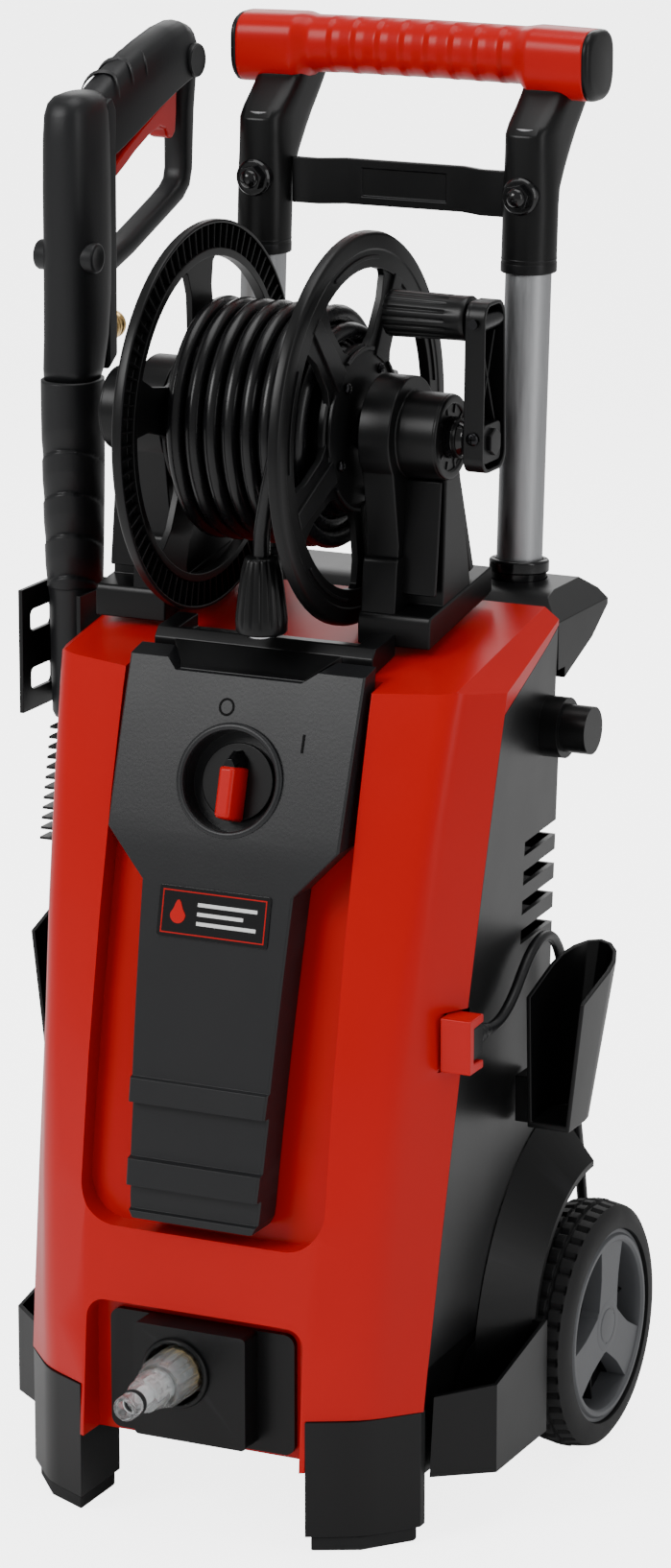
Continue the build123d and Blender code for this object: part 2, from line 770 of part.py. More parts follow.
def reel_tower(side):
    """Support beside a flange, with the bearing housing at its head."""
    inner = 50.0 if side > 0 else 84.0
    mid = inner + 21.0
    outer = inner + 46.0
    with BuildPart() as tower:
        leg = [(-10, 558), (-2, 600), (-14, REEL_Z), (50, REEL_Z), (58, 630), (90, 558)]
        with BuildSketch(across(side * inner)):
            outline(leg)
            with Locations((REEL_Y, REEL_Z)):
                Circle(HUB_R)
        extrude(amount=side * (mid - inner))
        with BuildSketch(across(side * mid)):
            outline([(8, 558), (14, REEL_Z), (28, REEL_Z), (52, 558)])
            with Locations((REEL_Y, REEL_Z)):
                Circle(HUB_SMALL_R)
        extrude(amount=side * (outer - mid))
        base = [(-12, 539.5), (-12, 560), (78, 572), (78, 556)]
        with BuildSketch(across(side * inner)):
            outline(base)
        extrude(amount=side * (outer - inner))
        with BuildSketch(across(side * (inner - 5))):
            with Locations((REEL_Y, REEL_Z)):
                Circle(12.26)
        extrude(amount=side * 70, mode=Mode.SUBTRACT)
    return tower


for side, name in ((-1, "reel_tower_left"), (1, "reel_tower_right")):
    save(reel_tower(side), name)

with BuildPart() as top_tray:
    deck = [(-46, 528.2), (-46, 539), (-41, 545), (-13, 548), (-13, 534.5)]
    with BuildSketch(across(0)):
        outline(deck)
    extrude(amount=74, both=True)
    with BuildSketch(Plane.XY.offset(540)):
        with Locations((0, -26)):
            Rectangle(120, 26)
    extrude(amount=20, mode=Mode.SUBTRACT)
save(top_tray, "top_tray")

# ---------------------------------------------------------------- folding crank
ARM_IN = 112.0
ARM_OUT = 125.0
CRANK_Z = 740.0
CRANK_X = 118.5
GRIP_R = 14.4

with BuildPart() as crank_arm:
    with BuildSketch(across(ARM_IN)):
        with Locations((REEL_Y, 700)):
            RectangleRounded(39, 104, 8)
    extrude(amount=ARM_OUT - ARM_IN)
    with BuildSketch(across(ARM_IN + 3)):
        with Locations((REEL_Y, 700)):
            Rectangle(31, 60)
    extrude(amount=20, mode=Mode.SUBTRACT)
    with BuildSketch(across(ARM_IN - 5)):
        with Locations((REEL_Y, CRANK_Z + 6)):
            Rectangle(31, 42)
    extrude(amount=30, mode=Mode.SUBTRACT)
    with BuildSketch(facing(REEL_Y + 30)):
        with Locations((CRANK_X, CRANK_Z)):
            Circle(3.05)
    extrude(amount=60, mode=Mode.SUBTRACT)
    with BuildSketch(across(104)):
        with Locations((REEL_Y, REEL_Z)):
            Circle(13)
    extrude(amount=ARM_IN - 104)
save(crank_arm, "crank_arm")

with BuildPart() as crank_pin:
    with BuildSketch(facing(REEL_Y + 19)):
        with Locations((CRANK_X, CRANK_Z)):
            Circle(3)
    extrude(amount=38)
    with BuildSketch(facing(REEL_Y + 14)):
        with Locations((CRANK_X, CRANK_Z)):
            Circle(6.2)
    extrude(amount=28)
    with BuildSketch(across(58)):
        with Locations((REEL_Y, CRANK_Z)):
            Circle(5)
    extrude(amount=CRANK_X - 60)
save(crank_pin, "crank_pin")

with BuildPart() as crank_grip:
    with BuildSketch(across(55)):
        with Locations((REEL_Y, CRANK_Z)):
            Circle(GRIP_R)
            with PolarLocations(GRIP_R + 0.8, 12):
                Circle(1.6, mode=Mode.SUBTRACT)
    extrude(amount=55)
    with BuildSketch(across(57.5)):
        with Locations((REEL_Y, CRANK_Z)):
            Circle(5.1)
    extrude(amount=60, mode=Mode.SUBTRACT)
save(crank_grip, "crank_grip")

# ---------------------------------------------------------------- stored gun and lance
GUN_MID_Y = 40.0
TRIGGER_PIVOT = (176, 862)


def gun_round(low, high, radius, hole=0.0):
    """Cylinder on the lance axis, with a hole of the given radius if it isn't zero."""
    with BuildPart() as piece:
        with BuildSketch(Plane.XY.offset(low)):
            with Locations((GUN_X, GUN_Y)):
                Circle(radius)
                if hole:
                    Circle(hole, mode=Mode.SUBTRACT)
        extrude(amount=high - low)
    return piece.part


with BuildPart() as gun_body:
    with BuildSketch(Plane.XY.offset(679)):
        with Locations((GUN_X, GUN_MID_Y)):
            RectangleRounded(32, 52, 12)
    extrude(amount=176)
    fillet(gun_body.faces().sort_by(Axis.Z)[-1].edges(), 9)
    grip = [
        (58, 808), (58, 855), (72, 863), (120, 878), (160, 888),
        (176, 886), (186, 870), (187, 846), (137, 838),
    ]
    with BuildSketch(across(GUN_X)):
        outline(grip)
    extrude(amount=15, both=True)
    loop = [
        (60, 738), (78, 741), (182, 776), (187, 782), (187, 850),
        (166, 846), (166, 783), (110, 762), (60, 752),
    ]
    with BuildSketch(across(GUN_X)):
        outline(loop)
    extrude(amount=9, both=True)
    with BuildSketch(across(GUN_X)):
        outline([(56, 800), (56, 834), (150, 866), (181, 866), (181, 846), (172, 840), (172, 800)])
        with Locations(TRIGGER_PIVOT):
            Circle(5.5)
    extrude(amount=8, both=True, mode=Mode.SUBTRACT)
    with BuildSketch(across(GUN_X)):
        with Locations((GUN_Y, 757)):
            Circle(9.8)
    extrude(amount=30, both=True, mode=Mode.SUBTRACT)
    with BuildSketch(across(GUN_X)):
        with Locations(TRIGGER_PIVOT):
            Circle(3.05)
    extrude(amount=20, both=True, mode=Mode.SUBTRACT)
save(gun_body, "gun_body")

with BuildPart() as gun_trigger:
    lever = [
        (67.5, 797), (67.5, 806), (158, 842), (163, 857), (174, 866), (178, 858), (170, 850), (150, 826),
    ]
    with BuildSketch(across(GUN_X)):
        outline(lever)
        with Locations(TRIGGER_PIVOT):
            Circle(4.5)
    extrude(amount=7, both=True)
    with BuildSketch(across(GUN_X)):
        with Locations(TRIGGER_PIVOT):
            Circle(3)
    extrude(amount=15, both=True)
save(gun_trigger, "gun_trigger")

with BuildPart() as gun_lock:
    with BuildSketch(across(GUN_X)):
        with Locations((GUN_Y, 757)):
            Circle(9.5)
    extrude(amount=21, both=True)
save(gun_lock, "gun_lock")

with BuildPart() as gun_fitting:
    with BuildSketch(facing(66)):
        with Locations((GUN_X, 705)):
            Circle(11)
    extrude(amount=-8)
    with BuildSketch(facing(74)):
        with Locations((GUN_X, 705)):
            Circle(9)
    extrude(amount=-14)
save(gun_fitting, "gun_fitting")

with BuildPart() as lance_grip:
    add(gun_round(548, 679, 16.4))
    add(gun_round(462, 548, 12.5))
save(lance_grip, "lance_grip")

with BuildPart() as lance_tube:
    add(gun_round(310, 462, 6))
save(lance_tube, "lance_tube")

with BuildPart() as lance_nozzle:
    add(gun_round(262, 310, 10.5))
    add(gun_round(310, 330, 10.5, 6.1))
save(lance_nozzle, "lance_nozzle")

# ---------------------------------------------------------------- holders on the sides
CUP_LOW = 238.0
CUP_HIGH = 346.0


def cup_section(side, z, inset):
    """U shape in plan: straight sides that run to the front, and a half ellipse at the rear."""
    grow = (z - CUP_LOW) / (CUP_HIGH - CUP_LOW)
    centre_x = 169.0 + 5.0 * grow
    centre_y = 34.0 + 14.0 * grow
    reach_x = 14.0 + 7.0 * grow - inset
    reach_y = 20.0 + 12.0 * grow - inset
    points = [(centre_x + reach_x, 8.0)]
    for i in range(9):
        angle = radians(22.5 * i)
        points.append((centre_x + reach_x * cos(angle), centre_y + reach_y * sin(angle)))
    points.append((centre_x - reach_x, 8.0))
    return [(side * x, y) for x, y in points]


def side_cup(side):
    """Half funnel that is open to the front, with its rim cut on a slant."""
    with BuildPart() as cup:
        for z in (CUP_LOW, CUP_HIGH):
            with BuildSketch(Plane.XY.offset(z)):
                outline(cup_section(side, z, 0))
        loft(ruled=True)
        for z in (CUP_LOW + 4, CUP_HIGH + 4):
            with BuildSketch(Plane.XY.offset(z)):
                outline(cup_section(side, z, WALL))
        loft(ruled=True, mode=Mode.SUBTRACT)
        rim = Plane(origin=(0, 8, 322), x_dir=(1, 0, 0), z_dir=(0, -0.3, 1))
        split(bisect_by=rim, keep=Keep.BOTTOM)
        with BuildSketch(Plane.XY.offset(CUP_LOW - 5)):
            with Locations((side * 147, 40)):
                Rectangle(20, 20)
        extrude(amount=30)
        add(body_hull(-GAP), mode=Mode.SUBTRACT)
    return cup


for side, name in ((-1, "side_cup_left"), (1, "side_cup_right")):
    save(side_cup(side), name)

with BuildPart() as lance_clip:
    with BuildSketch(Plane.XY.offset(466)):
        outline([(-151.5, 4), (-151.5, 62), (-196, 62), (-196, 4)])
    extrude(amount=80)
    with BuildSketch(Plane.XY.offset(460)):
        outline([(-154.5, 0), (-154.5, 59), (-193, 59), (-193, 0)])
    extrude(amount=90, mode=Mode.SUBTRACT)
    with BuildSketch(across(-200)):
        for z in (486, 524):
            with Locations((30, z)):
                RectangleRounded(30, 14, 4)
    extrude(amount=12, mode=Mode.SUBTRACT)
save(lance_clip, "lance_clip")

# ---------------------------------------------------------------- hose end
hose_route = [
    (24.2, -59.0, 694.0), (21.8, -63.8, 677.0), (18.0, -66.0, 659.0), (13.8, -65.4, 641.0), (10.0, -63.6, 625.0),
    (7.2, -61.8, 612.0), (7.2, -61.8, 600.0),
]
COUPLING_X = 7.2
COUPLING_Y = -61.8


def corner_radii(route):
    """Largest arcs that the runs on both sides of each corner allow."""
    radii = []
    for before, at, after in zip(route, route[1:], route[2:]):
        run_in = Vector(*at) - Vector(*before)
        run_out = Vector(*after) - Vector(*at)
        turn = radians(run_in.get_angle(run_out))
        radii.append(0.45 * min(run_in.length, run_out.length) / tan(turn / 2))
    return radii


def cord_tube(route, diameter):
    """Round tube along straight runs joined by tangent arcs."""
    radii = corner_radii(route)
    with BuildPart() as tube:
        with BuildLine() as path:
            FilletPolyline(*route, radius=radii)
        start = Vector(*route[0])
        with BuildSketch(Plane(origin=start, z_dir=Vector(*route[1]) - start)):
            Circle(diameter / 2)
        sweep()
    length = sum(edge.length for edge in path.edges())
    volume_ratio = tube.part.volume / (length * pi * diameter**2 / 4)
    print("cord", round(length, 1), "mm, volume ratio", round(volume_ratio, 4))
    print("  smallest arc", round(min(radii), 1), "in diameters", round(min(radii) / diameter, 1))
    return tube.part


with BuildPart() as hose_end:
    add(cord_tube(hose_route, HOSE_D))
save(hose_end, "hose_end")

with BuildPart() as hose_coupling:
    for z, radius in ((600, 10.5), (562, 16.5)):
        with BuildSketch(Plane.XY.offset(z)):
            with Locations((COUPLING_X, COUPLING_Y)):
                Circle(radius)
    loft(ruled=True)
    with BuildSketch(Plane.XY.offset(553)):
        with Locations((COUPLING_X, COUPLING_Y)):
            Circle(15)
    extrude(amount=9)
    with BuildSketch(Plane.XY.offset(550)):
        with Locations((COUPLING_X, COUPLING_Y)):
            Circle(9)
    extrude(amount=16, mode=Mode.SUBTRACT)
save(hose_coupling, "hose_coupling")

# ---------------------------------------------------------------- cord outlet and mains cord
with BuildPart() as cord_clip:
    with BuildSketch(across(136)):
        outline([
            (-82, 297), (-82, 331), (-62, 331), (-62, 326), (-76, 325), (-76, 303), (-62, 302), (-62, 297),
        ])
    extrude(amount=20)
save(cord_clip, "cord_clip")

with BuildPart() as cord_gland:
    with BuildSketch(across(136)):
        outline([(-75.6, 303.4), (-75.6, 324.6), (OUTLET_Y, 323.5), (OUTLET_Y, 304.5)])
    extrude(amount=18)
save(cord_gland, "cord_gland")

FLOOR_LIE = CORD_D / 2 + 0.1
COIL_X = 30.0
COIL_Y = 222.0
COIL_MID_R = 44.0
COIL_SIDE = 4 * CORD_D     # the turns lie four wide and four high
PLUG_X = -60.0             # mouth of the plug's strain relief
PLUG_Y = 268.0
PLUG_Z = 18.8

cord_route = [
    (147.5, OUTLET_Y, OUTLET_Z), (147.5, -44.0, OUTLET_Z), (147.5, -28.0, 312.0), (147.4, -12.0, 315.0),
    (147.3, 4.0, 323.5), (147.2, 18.0, 336.0), (147.0, 32.5, 346.0), (146.8, 49.0, 350.0), (146.5, 64.0, 346.0),
    (146.2, 76.0, 335.0), (146.0, 83.5, 319.0), (145.5, 88.5, 300.0), (145.0, 93.0, 280.5), (143.5, 98.5, 262.0),
    (141.5, 107.0, 244.5), (139.0, 118.0, 228.0), (136.0, 130.0, 211.0), (133.0, 141.0, 193.0),
    (130.5, 151.0, 174.0), (128.5, 159.0, 153.0), (127.3, 166.0, 131.0), (126.5, 172.0, 108.0),
    (126.0, 178.0, 85.0), (124.5, 184.5, 62.0), (121.0, 193.0, 42.0), (116.0, 205.0, 25.0), (109.0, 220.0, 12.0),
    (99.5, 237.0, 5.0), (87.0, 253.0, FLOOR_LIE), (72.0, 266.5, FLOOR_LIE), (54.0, 275.0, FLOOR_LIE),
    (36.0, 276.5, FLOOR_LIE),
]
tail_route = [
    (30.0, 276.5, 10.6), (15.0, 276.6, 10.7), (0.0, 275.0, 12.0), (-15.0, 271.8, 14.6), (-30.0, 269.0, 17.2),
    (-45.0, PLUG_Y, PLUG_Z), (PLUG_X, PLUG_Y, PLUG_Z),
]

with BuildPart() as cord_coil:
    with BuildSketch(Plane.XY):
        with Locations((COIL_X, COIL_Y)):
            Circle(COIL_MID_R + COIL_SIDE / 2)
            Circle(COIL_MID_R - COIL_SIDE / 2, mode=Mode.SUBTRACT)
    extrude(amount=COIL_SIDE)
    fillet(cord_coil.edges().filter_by(GeomType.CIRCLE).group_by(Axis.Z)[-1], 5)
save(cord_coil, "cord_coil")

with BuildPart() as mains_plug:
    with BuildSketch(across(PLUG_X)):
        with Locations((PLUG_Y, PLUG_Z)):
            Circle(5.2)
    with BuildSketch(across(PLUG_X - 24)):
        with Locations((PLUG_Y, PLUG_Z)):
            Circle(9)
    loft(ruled=True)
    with BuildSketch(across(PLUG_X - 24)):
        with Locations((PLUG_Y, PLUG_Z)):
            Circle(18.5)
    extrude(amount=-25)
    with BuildSketch(across(PLUG_X - 49)):
        with Locations((PLUG_Y, PLUG_Z)):
            with GridLocations(19, 0, 2, 1):
                Circle(2.4)
    extrude(amount=-19)
save(mains_plug, "mains_plug")

with BuildPart() as power_cord:
    add(cord_tube(cord_route, CORD_D))
    add(cord_tube(tail_route, CORD_D))
save(power_cord, "power_cord")

# ---------------------------------------------------------------- inside the covers
MOTOR_Y = 25.0
MOTOR_LOW = 222.0
PUMP_LOW = 128.0

with BuildPart() as motor:
    with BuildSketch(Plane.XY.offset(MOTOR_LOW)):
        with Locations((0, MOTOR_Y)):
            Circle(56)
    extrude(amount=160)
    with BuildSketch(Plane.XY.offset(MOTOR_LOW + 160)):
        with Locations((0, MOTOR_Y)):
            Circle(40)
    extrude(amount=22)
    with BuildSketch(Plane.XY.offset(PUMP_LOW + 62 + FIT)):
        with Locations((0, MOTOR_Y)):
            Circle(12)
    extrude(amount=MOTOR_LOW - PUMP_LOW - 62 - FIT)
save(motor, "motor")

with BuildPart() as pump:
    with BuildSketch(Plane.XY.offset(PUMP_LOW)):
        with Locations((0, MOTOR_Y)):
            Circle(42)
    extrude(amount=62)
    with BuildSketch(Plane.XY.offset(PUMP_LOW + 6)):
        with Locations((0, MOTOR_Y - 43)):
            Rectangle(64, 60)
    extrude(amount=46)
    with BuildSketch(Plane.XY.offset(BASE_TOP - 71)):
        with Locations((0, MOTOR_Y)):
            Rectangle(60, 20)
    extrude(amount=PUMP_LOW - BASE_TOP + 71)
save(pump, "pump")

with BuildPart() as switch_box:
    with BuildSketch(knob_plane.offset(-86)):
        Rectangle(52, 60)
    extrude(amount=40)
    with BuildSketch(knob_plane.offset(-60)):
        Circle(6)
    extrude(amount=27)
    with BuildSketch(knob_plane.offset(-50)):
        Circle(5 + FIT)
    extrude(amount=60, mode=Mode.SUBTRACT)
save(switch_box, "switch_box")
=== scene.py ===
"""Looks of the upright pressure washer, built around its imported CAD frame. Sizes are in metres."""

from math import copysign, cos, pi, radians, sin, sqrt

import bmesh
import bpy
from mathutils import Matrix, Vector


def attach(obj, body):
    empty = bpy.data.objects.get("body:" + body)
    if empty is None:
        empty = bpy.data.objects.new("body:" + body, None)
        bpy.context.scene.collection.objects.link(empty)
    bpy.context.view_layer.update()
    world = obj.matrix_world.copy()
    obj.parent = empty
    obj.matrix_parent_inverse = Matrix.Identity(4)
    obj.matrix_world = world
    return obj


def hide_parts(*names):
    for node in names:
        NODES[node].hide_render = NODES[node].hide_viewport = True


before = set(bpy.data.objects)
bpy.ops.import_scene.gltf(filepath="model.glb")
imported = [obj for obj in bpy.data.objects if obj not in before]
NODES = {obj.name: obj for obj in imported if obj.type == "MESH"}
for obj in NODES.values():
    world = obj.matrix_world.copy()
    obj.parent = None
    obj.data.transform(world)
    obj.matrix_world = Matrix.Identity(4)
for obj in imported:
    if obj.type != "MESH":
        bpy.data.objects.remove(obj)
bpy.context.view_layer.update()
MM = 0.001
scene = bpy.context.scene


# ---------------------------------------------------------------- camera, light and floor
def aim(item, place, target):
    item.location = place
    item.rotation_mode = "QUATERNION"
    item.rotation_quaternion = (Vector(target) - Vector(place)).to_track_quat("-Z", "Y")


def make_camera():
    camera = bpy.data.objects.new("camera", bpy.data.cameras.new("camera"))
    scene.collection.objects.link(camera)
    camera.data.sensor_width = 36.0
    camera.data.lens = 130.14
    camera.data.clip_start = 0.05
    camera.data.clip_end = 60.0
    aim(camera, (1.4767, -3.0656, 1.3365), (0.02246, 0.01062, 0.4424))
    scene.camera = camera


def make_light(name, place, target_height, size, power):
    light = bpy.data.lights.new(name, "AREA")
    light.shape = "RECTANGLE"
    light.size, light.size_y = size
    light.energy = power
    lamp = bpy.data.objects.new(name, light)
    scene.collection.objects.link(lamp)
    aim(lamp, place, (0, 0, target_height))


def glow_when_seen(tree, strength, unseen, seen):
    """White for the camera, but dim for the light that falls on the part."""
    path = tree.nodes.new("ShaderNodeLightPath")
    level = tree.nodes.new("ShaderNodeMapRange")
    level.inputs["To Min"].default_value = unseen
    level.inputs["To Max"].default_value = seen
    tree.links.new(path.outputs["Is Camera Ray"], level.inputs["Value"])
    tree.links.new(level.outputs["Result"], strength)


def make_stage():
    bpy.ops.mesh.primitive_plane_add(size=40.0, location=(0, 0, -0.0006))
    floor = bpy.context.object
    floor.name = "studio_floor"
    paint = bpy.data.materials.new("studio_floor")
    paint.use_nodes = True
    shader = paint.node_tree.nodes["Principled BSDF"]
    shader.inputs["Base Color"].default_value = (0.93, 0.93, 0.93, 1)
    shader.inputs["Roughness"].default_value = 0.8
    shader.inputs["Emission Color"].default_value = (1, 1, 1, 1)
    glow_when_seen(paint.node_tree, shader.inputs["Emission Strength"], 0.10, 4.0)
    floor.data.materials.append(paint)
    world = bpy.data.worlds.new("studio")
    scene.world = world
    world.use_nodes = True
    background = world.node_tree.nodes["Background"]
    background.inputs["Color"].default_value = (1, 1, 1, 1)
    glow_when_seen(world.node_tree, background.inputs["Strength"], 0.45, 4.5)
    make_light("key", (-1.6, -2.6, 2.6), 0.45, (1.6, 1.6), 78)
    make_light("side", (2.8, -0.6, 1.5), 0.5, (0.9, 2.4), 20)
    make_light("top", (0.2, 0.4, 3.2), 0.5, (2.2, 1.6), 34)
    make_light("back", (-0.8, 2.8, 1.8), 0.6, (2.0, 1.4), 18)


make_camera()
make_stage()


# ---------------------------------------------------------------- materials
class Shading:
    """A Principled material whose grain, tone and wear are worked out in its nodes."""

    def __init__(self, name):
        self.material = bpy.data.materials.new(name)
        self.material.use_nodes = True
        self.nodes = self.material.node_tree.nodes
        self.links = self.material.node_tree.links
        self.shader = self.nodes["Principled BSDF"]
        self.place = self.nodes.new("ShaderNodeTexCoord").outputs["Object"]

    def noise(self, scale, detail=3.0, roughness=0.5):
        node = self.nodes.new("ShaderNodeTexNoise")
        node.inputs["Scale"].default_value = scale
        node.inputs["Detail"].default_value = detail
        node.inputs["Roughness"].default_value = roughness
        self.links.new(self.place, node.inputs["Vector"])
        return node.outputs["Fac"]

    def spread(self, source, low, high, start=0.3, end=0.7):
        node = self.nodes.new("ShaderNodeMapRange")
        for socket, value in (("From Min", start), ("From Max", end), ("To Min", low), ("To Max", high)):
            node.inputs[socket].default_value = value
        self.links.new(source, node.inputs["Value"])
        return node.outputs["Result"]

    def tones(self, source, dark, light):
        ramp = self.nodes.new("ShaderNodeValToRGB")
        for stop, tone, position in zip(ramp.color_ramp.elements, (dark, light), (0.3, 0.7)):
            stop.color = (*tone, 1)
            stop.position = position
        self.links.new(source, ramp.inputs["Fac"])
        return ramp.outputs["Color"]

    def rubbed(self, tone, worn):
        """Tone that turns to the worn colour on outer edges."""
        pointiness = self.nodes.new("ShaderNodeNewGeometry").outputs["Pointiness"]
        node = self.nodes.new("ShaderNodeMix")
        node.data_type = "RGBA"
        self.links.new(self.spread(pointiness, 0.0, 1.0, 0.54, 0.66), node.inputs["Factor"])
        self.links.new(tone, node.inputs["A"])
        node.inputs["B"].default_value = (*worn, 1)
        return node.outputs["Result"]

    def bump(self, source, strength):
        node = self.nodes.new("ShaderNodeBump")
        node.inputs["Strength"].default_value = strength
        node.inputs["Distance"].default_value = 0.0002
        self.links.new(source, node.inputs["Height"])
        self.links.new(node.outputs["Normal"], self.shader.inputs["Normal"])

    def colour(self, output):
        self.links.new(output, self.shader.inputs["Base Color"])

    def rough(self, output):
        self.links.new(output, self.shader.inputs["Roughness"])

    def fixed(self, **values):
        for name, value in values.items():
            self.shader.inputs[name.replace("_", " ")].default_value = value


def darker(colour, share):
    return tuple(share * c for c in colour)


def plastic(name, colour, rough, grain, bump, worn=None, specular=0.5):
    """Moulded plastic: fine grain, slight changes of gloss, and rubbed edges where worn is given."""
    look = Shading(name)
    tone = look.tones(look.noise(9.0, 4.0), darker(colour, 0.96), colour)
    look.colour(look.rubbed(tone, worn) if worn else tone)
    look.rough(look.spread(look.noise(26.0, 3.0), rough - 0.012, rough + 0.014))
    look.bump(look.noise(grain, 2.0), bump)
    look.fixed(Specular_IOR_Level=specular)
    return look.material


def metal(name, colour, rough, grain, stretch):
    """Drawn or turned metal, with fine lines along the stretched direction."""
    look = Shading(name)
    mapping = look.nodes.new("ShaderNodeMapping")
    mapping.inputs["Scale"].default_value = stretch
    look.links.new(look.place, mapping.inputs["Vector"])
    look.place = mapping.outputs["Vector"]
    lines = look.noise(grain, 4.0, 0.6)
    look.colour(look.tones(lines, darker(colour, 0.86), colour))
    look.rough(look.spread(lines, rough - 0.06, rough + 0.08))
    look.bump(lines, 0.12)
    look.fixed(Metallic=1.0)
    return look.material


def rubber(name, colour, rough, grain, bump=0.25):
    look = Shading(name)
    look.colour(look.tones(look.noise(30.0, 5.0), darker(colour, 0.75), colour))
    look.rough(look.spread(look.noise(40.0), rough - 0.03, rough + 0.04))
    look.bump(look.noise(grain, 3.0), bump)
    look.fixed(Specular_IOR_Level=0.34)
    return look.material


def clear_plastic():
    look = Shading("clear_plastic")
    look.rough(look.spread(look.noise(60.0, 4.0), 0.03, 0.12))
    look.bump(look.noise(140.0), 0.08)
    look.fixed(Base_Color=(0.93, 0.96, 0.97, 1), Transmission_Weight=0.92, IOR=1.35, Alpha=0.85)
    return look.material


RED = plastic("red_plastic", (0.50, 0.0015, 0.0011), 0.30, 700.0, 0.03, None, 0.22)
DEEP_RED = plastic("deep_red_plastic", (0.52, 0.0024, 0.0018), 0.34, 500.0, 0.10, None, 0.26)
BLACK = plastic("black_plastic", (0.0030, 0.0031, 0.0033), 0.34, 620.0, 0.10, (0.009, 0.009, 0.010), 0.26)
PANEL = plastic("panel_plastic", (0.0098, 0.0101, 0.0112), 0.38, 520.0, 0.26, (0.020, 0.021, 0.023), 0.36)
GUN = plastic("gun_plastic", (0.0080, 0.0083, 0.0092), 0.42, 480.0, 0.24, (0.018, 0.019, 0.020), 0.32)
GLOSS = plastic("gloss_black", (0.0050, 0.0050, 0.0055), 0.15, 700.0, 0.04, None, 0.42)
GREY = plastic("grey_plastic", (0.085, 0.088, 0.094), 0.46, 450.0, 0.22, None, 0.40)
WHITE = plastic("white_mesh", (0.80, 0.81, 0.80), 0.5, 400.0, 0.1)
BOLT = metal("blackened_steel", (0.028, 0.028, 0.030), 0.30, 90.0, (3.0, 3.0, 1.0))
INK = plastic("dark_print", (0.0010, 0.0010, 0.0012), 0.60, 400.0, 0.05, None, 0.10)
TYRE = rubber("tyre_rubber", (0.0055, 0.0055, 0.0060), 0.60, 420.0)
HOSE = rubber("hose_rubber", (0.0050, 0.0050, 0.0056), 0.26, 900.0, 0.05)
CORD = rubber("cord_rubber", (0.0085, 0.0085, 0.0095), 0.36, 700.0, 0.08)
PAD = rubber("pad_rubber", (0.0085, 0.0085, 0.0090), 0.70, 420.0)
TUBE = metal("anodised_tube", (0.40, 0.405, 0.415), 0.44, 60.0, (9.0, 9.0, 0.6))
STEEL = metal("bright_steel", (0.60, 0.60, 0.62), 0.22, 80.0, (3.0, 3.0, 1.0))
BRASS = metal("turned_brass", (0.78, 0.52, 0.20), 0.20, 90.0, (1.0, 6.0, 6.0))
CLEAR = clear_plastic()


# ---------------------------------------------------------------- cords
def spline_object(name, points, diameter, material, resolution):
    curve = bpy.data.curves.new(name, "CURVE")
    curve.dimensions = "3D"
    curve.bevel_depth = diameter / 2
    curve.bevel_resolution = 5
    curve.resolution_u = resolution
    curve.use_fill_caps = True
    spline = curve.splines.new("NURBS")
    spline.points.add(len(points) - 1)
    for knot, point in zip(spline.points, points):
        knot.co = (*point, 1.0)
    spline.order_u = 3
    spline.use_endpoint_u = True
    curve.materials.append(material)
    piece = bpy.data.objects.new(name, curve)
    scene.collection.objects.link(piece)
    return piece


CORD_D = 0.007
COIL_AT = (0.030, 0.222)
COIL_INNER = 0.0335
LIE = CORD_D / 2 + 0.0001
TURN_POINTS = 24
cord_route = [
    (0.1475, -0.058, 0.314), (0.1475, -0.044, 0.314), (0.1475, -0.028, 0.312), (0.1474, -0.012, 0.315),
    (0.1473, 0.004, 0.3235), (0.1472, 0.018, 0.336), (0.147, 0.0325, 0.346), (0.1468, 0.049, 0.350),
    (0.1465, 0.064, 0.346), (0.1462, 0.076, 0.335), (0.146, 0.0835, 0.319), (0.1455, 0.0885, 0.300),
    (0.145, 0.093, 0.2805), (0.1435, 0.0985, 0.262), (0.1415, 0.107, 0.2445), (0.139, 0.118, 0.228),
    (0.136, 0.130, 0.211), (0.133, 0.141, 0.193), (0.1305, 0.151, 0.174), (0.1285, 0.159, 0.153),
    (0.1273, 0.166, 0.131), (0.1265, 0.172, 0.108), (0.126, 0.178, 0.085), (0.1245, 0.1845, 0.062),
    (0.121, 0.193, 0.042), (0.116, 0.205, 0.025), (0.109, 0.220, 0.012), (0.0995, 0.237, 0.005),
    (0.087, 0.253, LIE), (0.072, 0.2665, LIE), (0.054, 0.275, LIE),
]
tail_route = [
    (0.015, 0.2766, 0.0107), (0.0, 0.275, 0.012), (-0.015, 0.2718, 0.0146), (-0.030, 0.269, 0.0172),
    (-0.045, 0.268, 0.0188), (-0.060, 0.268, 0.0188),
]
# Cells of the coil's bundle in the order in which the cord fills them: (column from the inside, layer).
coil_cells = [(3, 0), (2, 0), (1, 0), (0, 0), (0, 1), (0, 2), (0, 3), (1, 3), (2, 3), (3, 3), (3, 2), (2, 2),
              (1, 2), (1, 1), (2, 1), (3, 1)]


def eased(share):
    """Share between 0 and 1 that starts and ends gently."""
    return share * share * (3 - 2 * share)


def coil_points():
    """Turns that lie beside and on each other, from the rear side round to the rear side again."""
    points = []
    for index in range(len(coil_cells) * TURN_POINTS + 1 - TURN_POINTS):
        turn, step = divmod(index, TURN_POINTS)
        share = eased(max(0.0, min(1.0, (step / TURN_POINTS - 0.35) / 0.5)))
        column, layer = coil_cells[turn]
        if turn + 1 < len(coil_cells):
            column += share * (coil_cells[turn + 1][0] - column)
            layer += share * (coil_cells[turn + 1][1] - layer)
        radius = COIL_INNER + column * CORD_D
        angle = pi / 2 + 2 * pi * index / TURN_POINTS
        height = LIE + layer * CORD_D
        points.append((COIL_AT[0] + radius * cos(angle), COIL_AT[1] + radius * sin(angle), height))
    return points


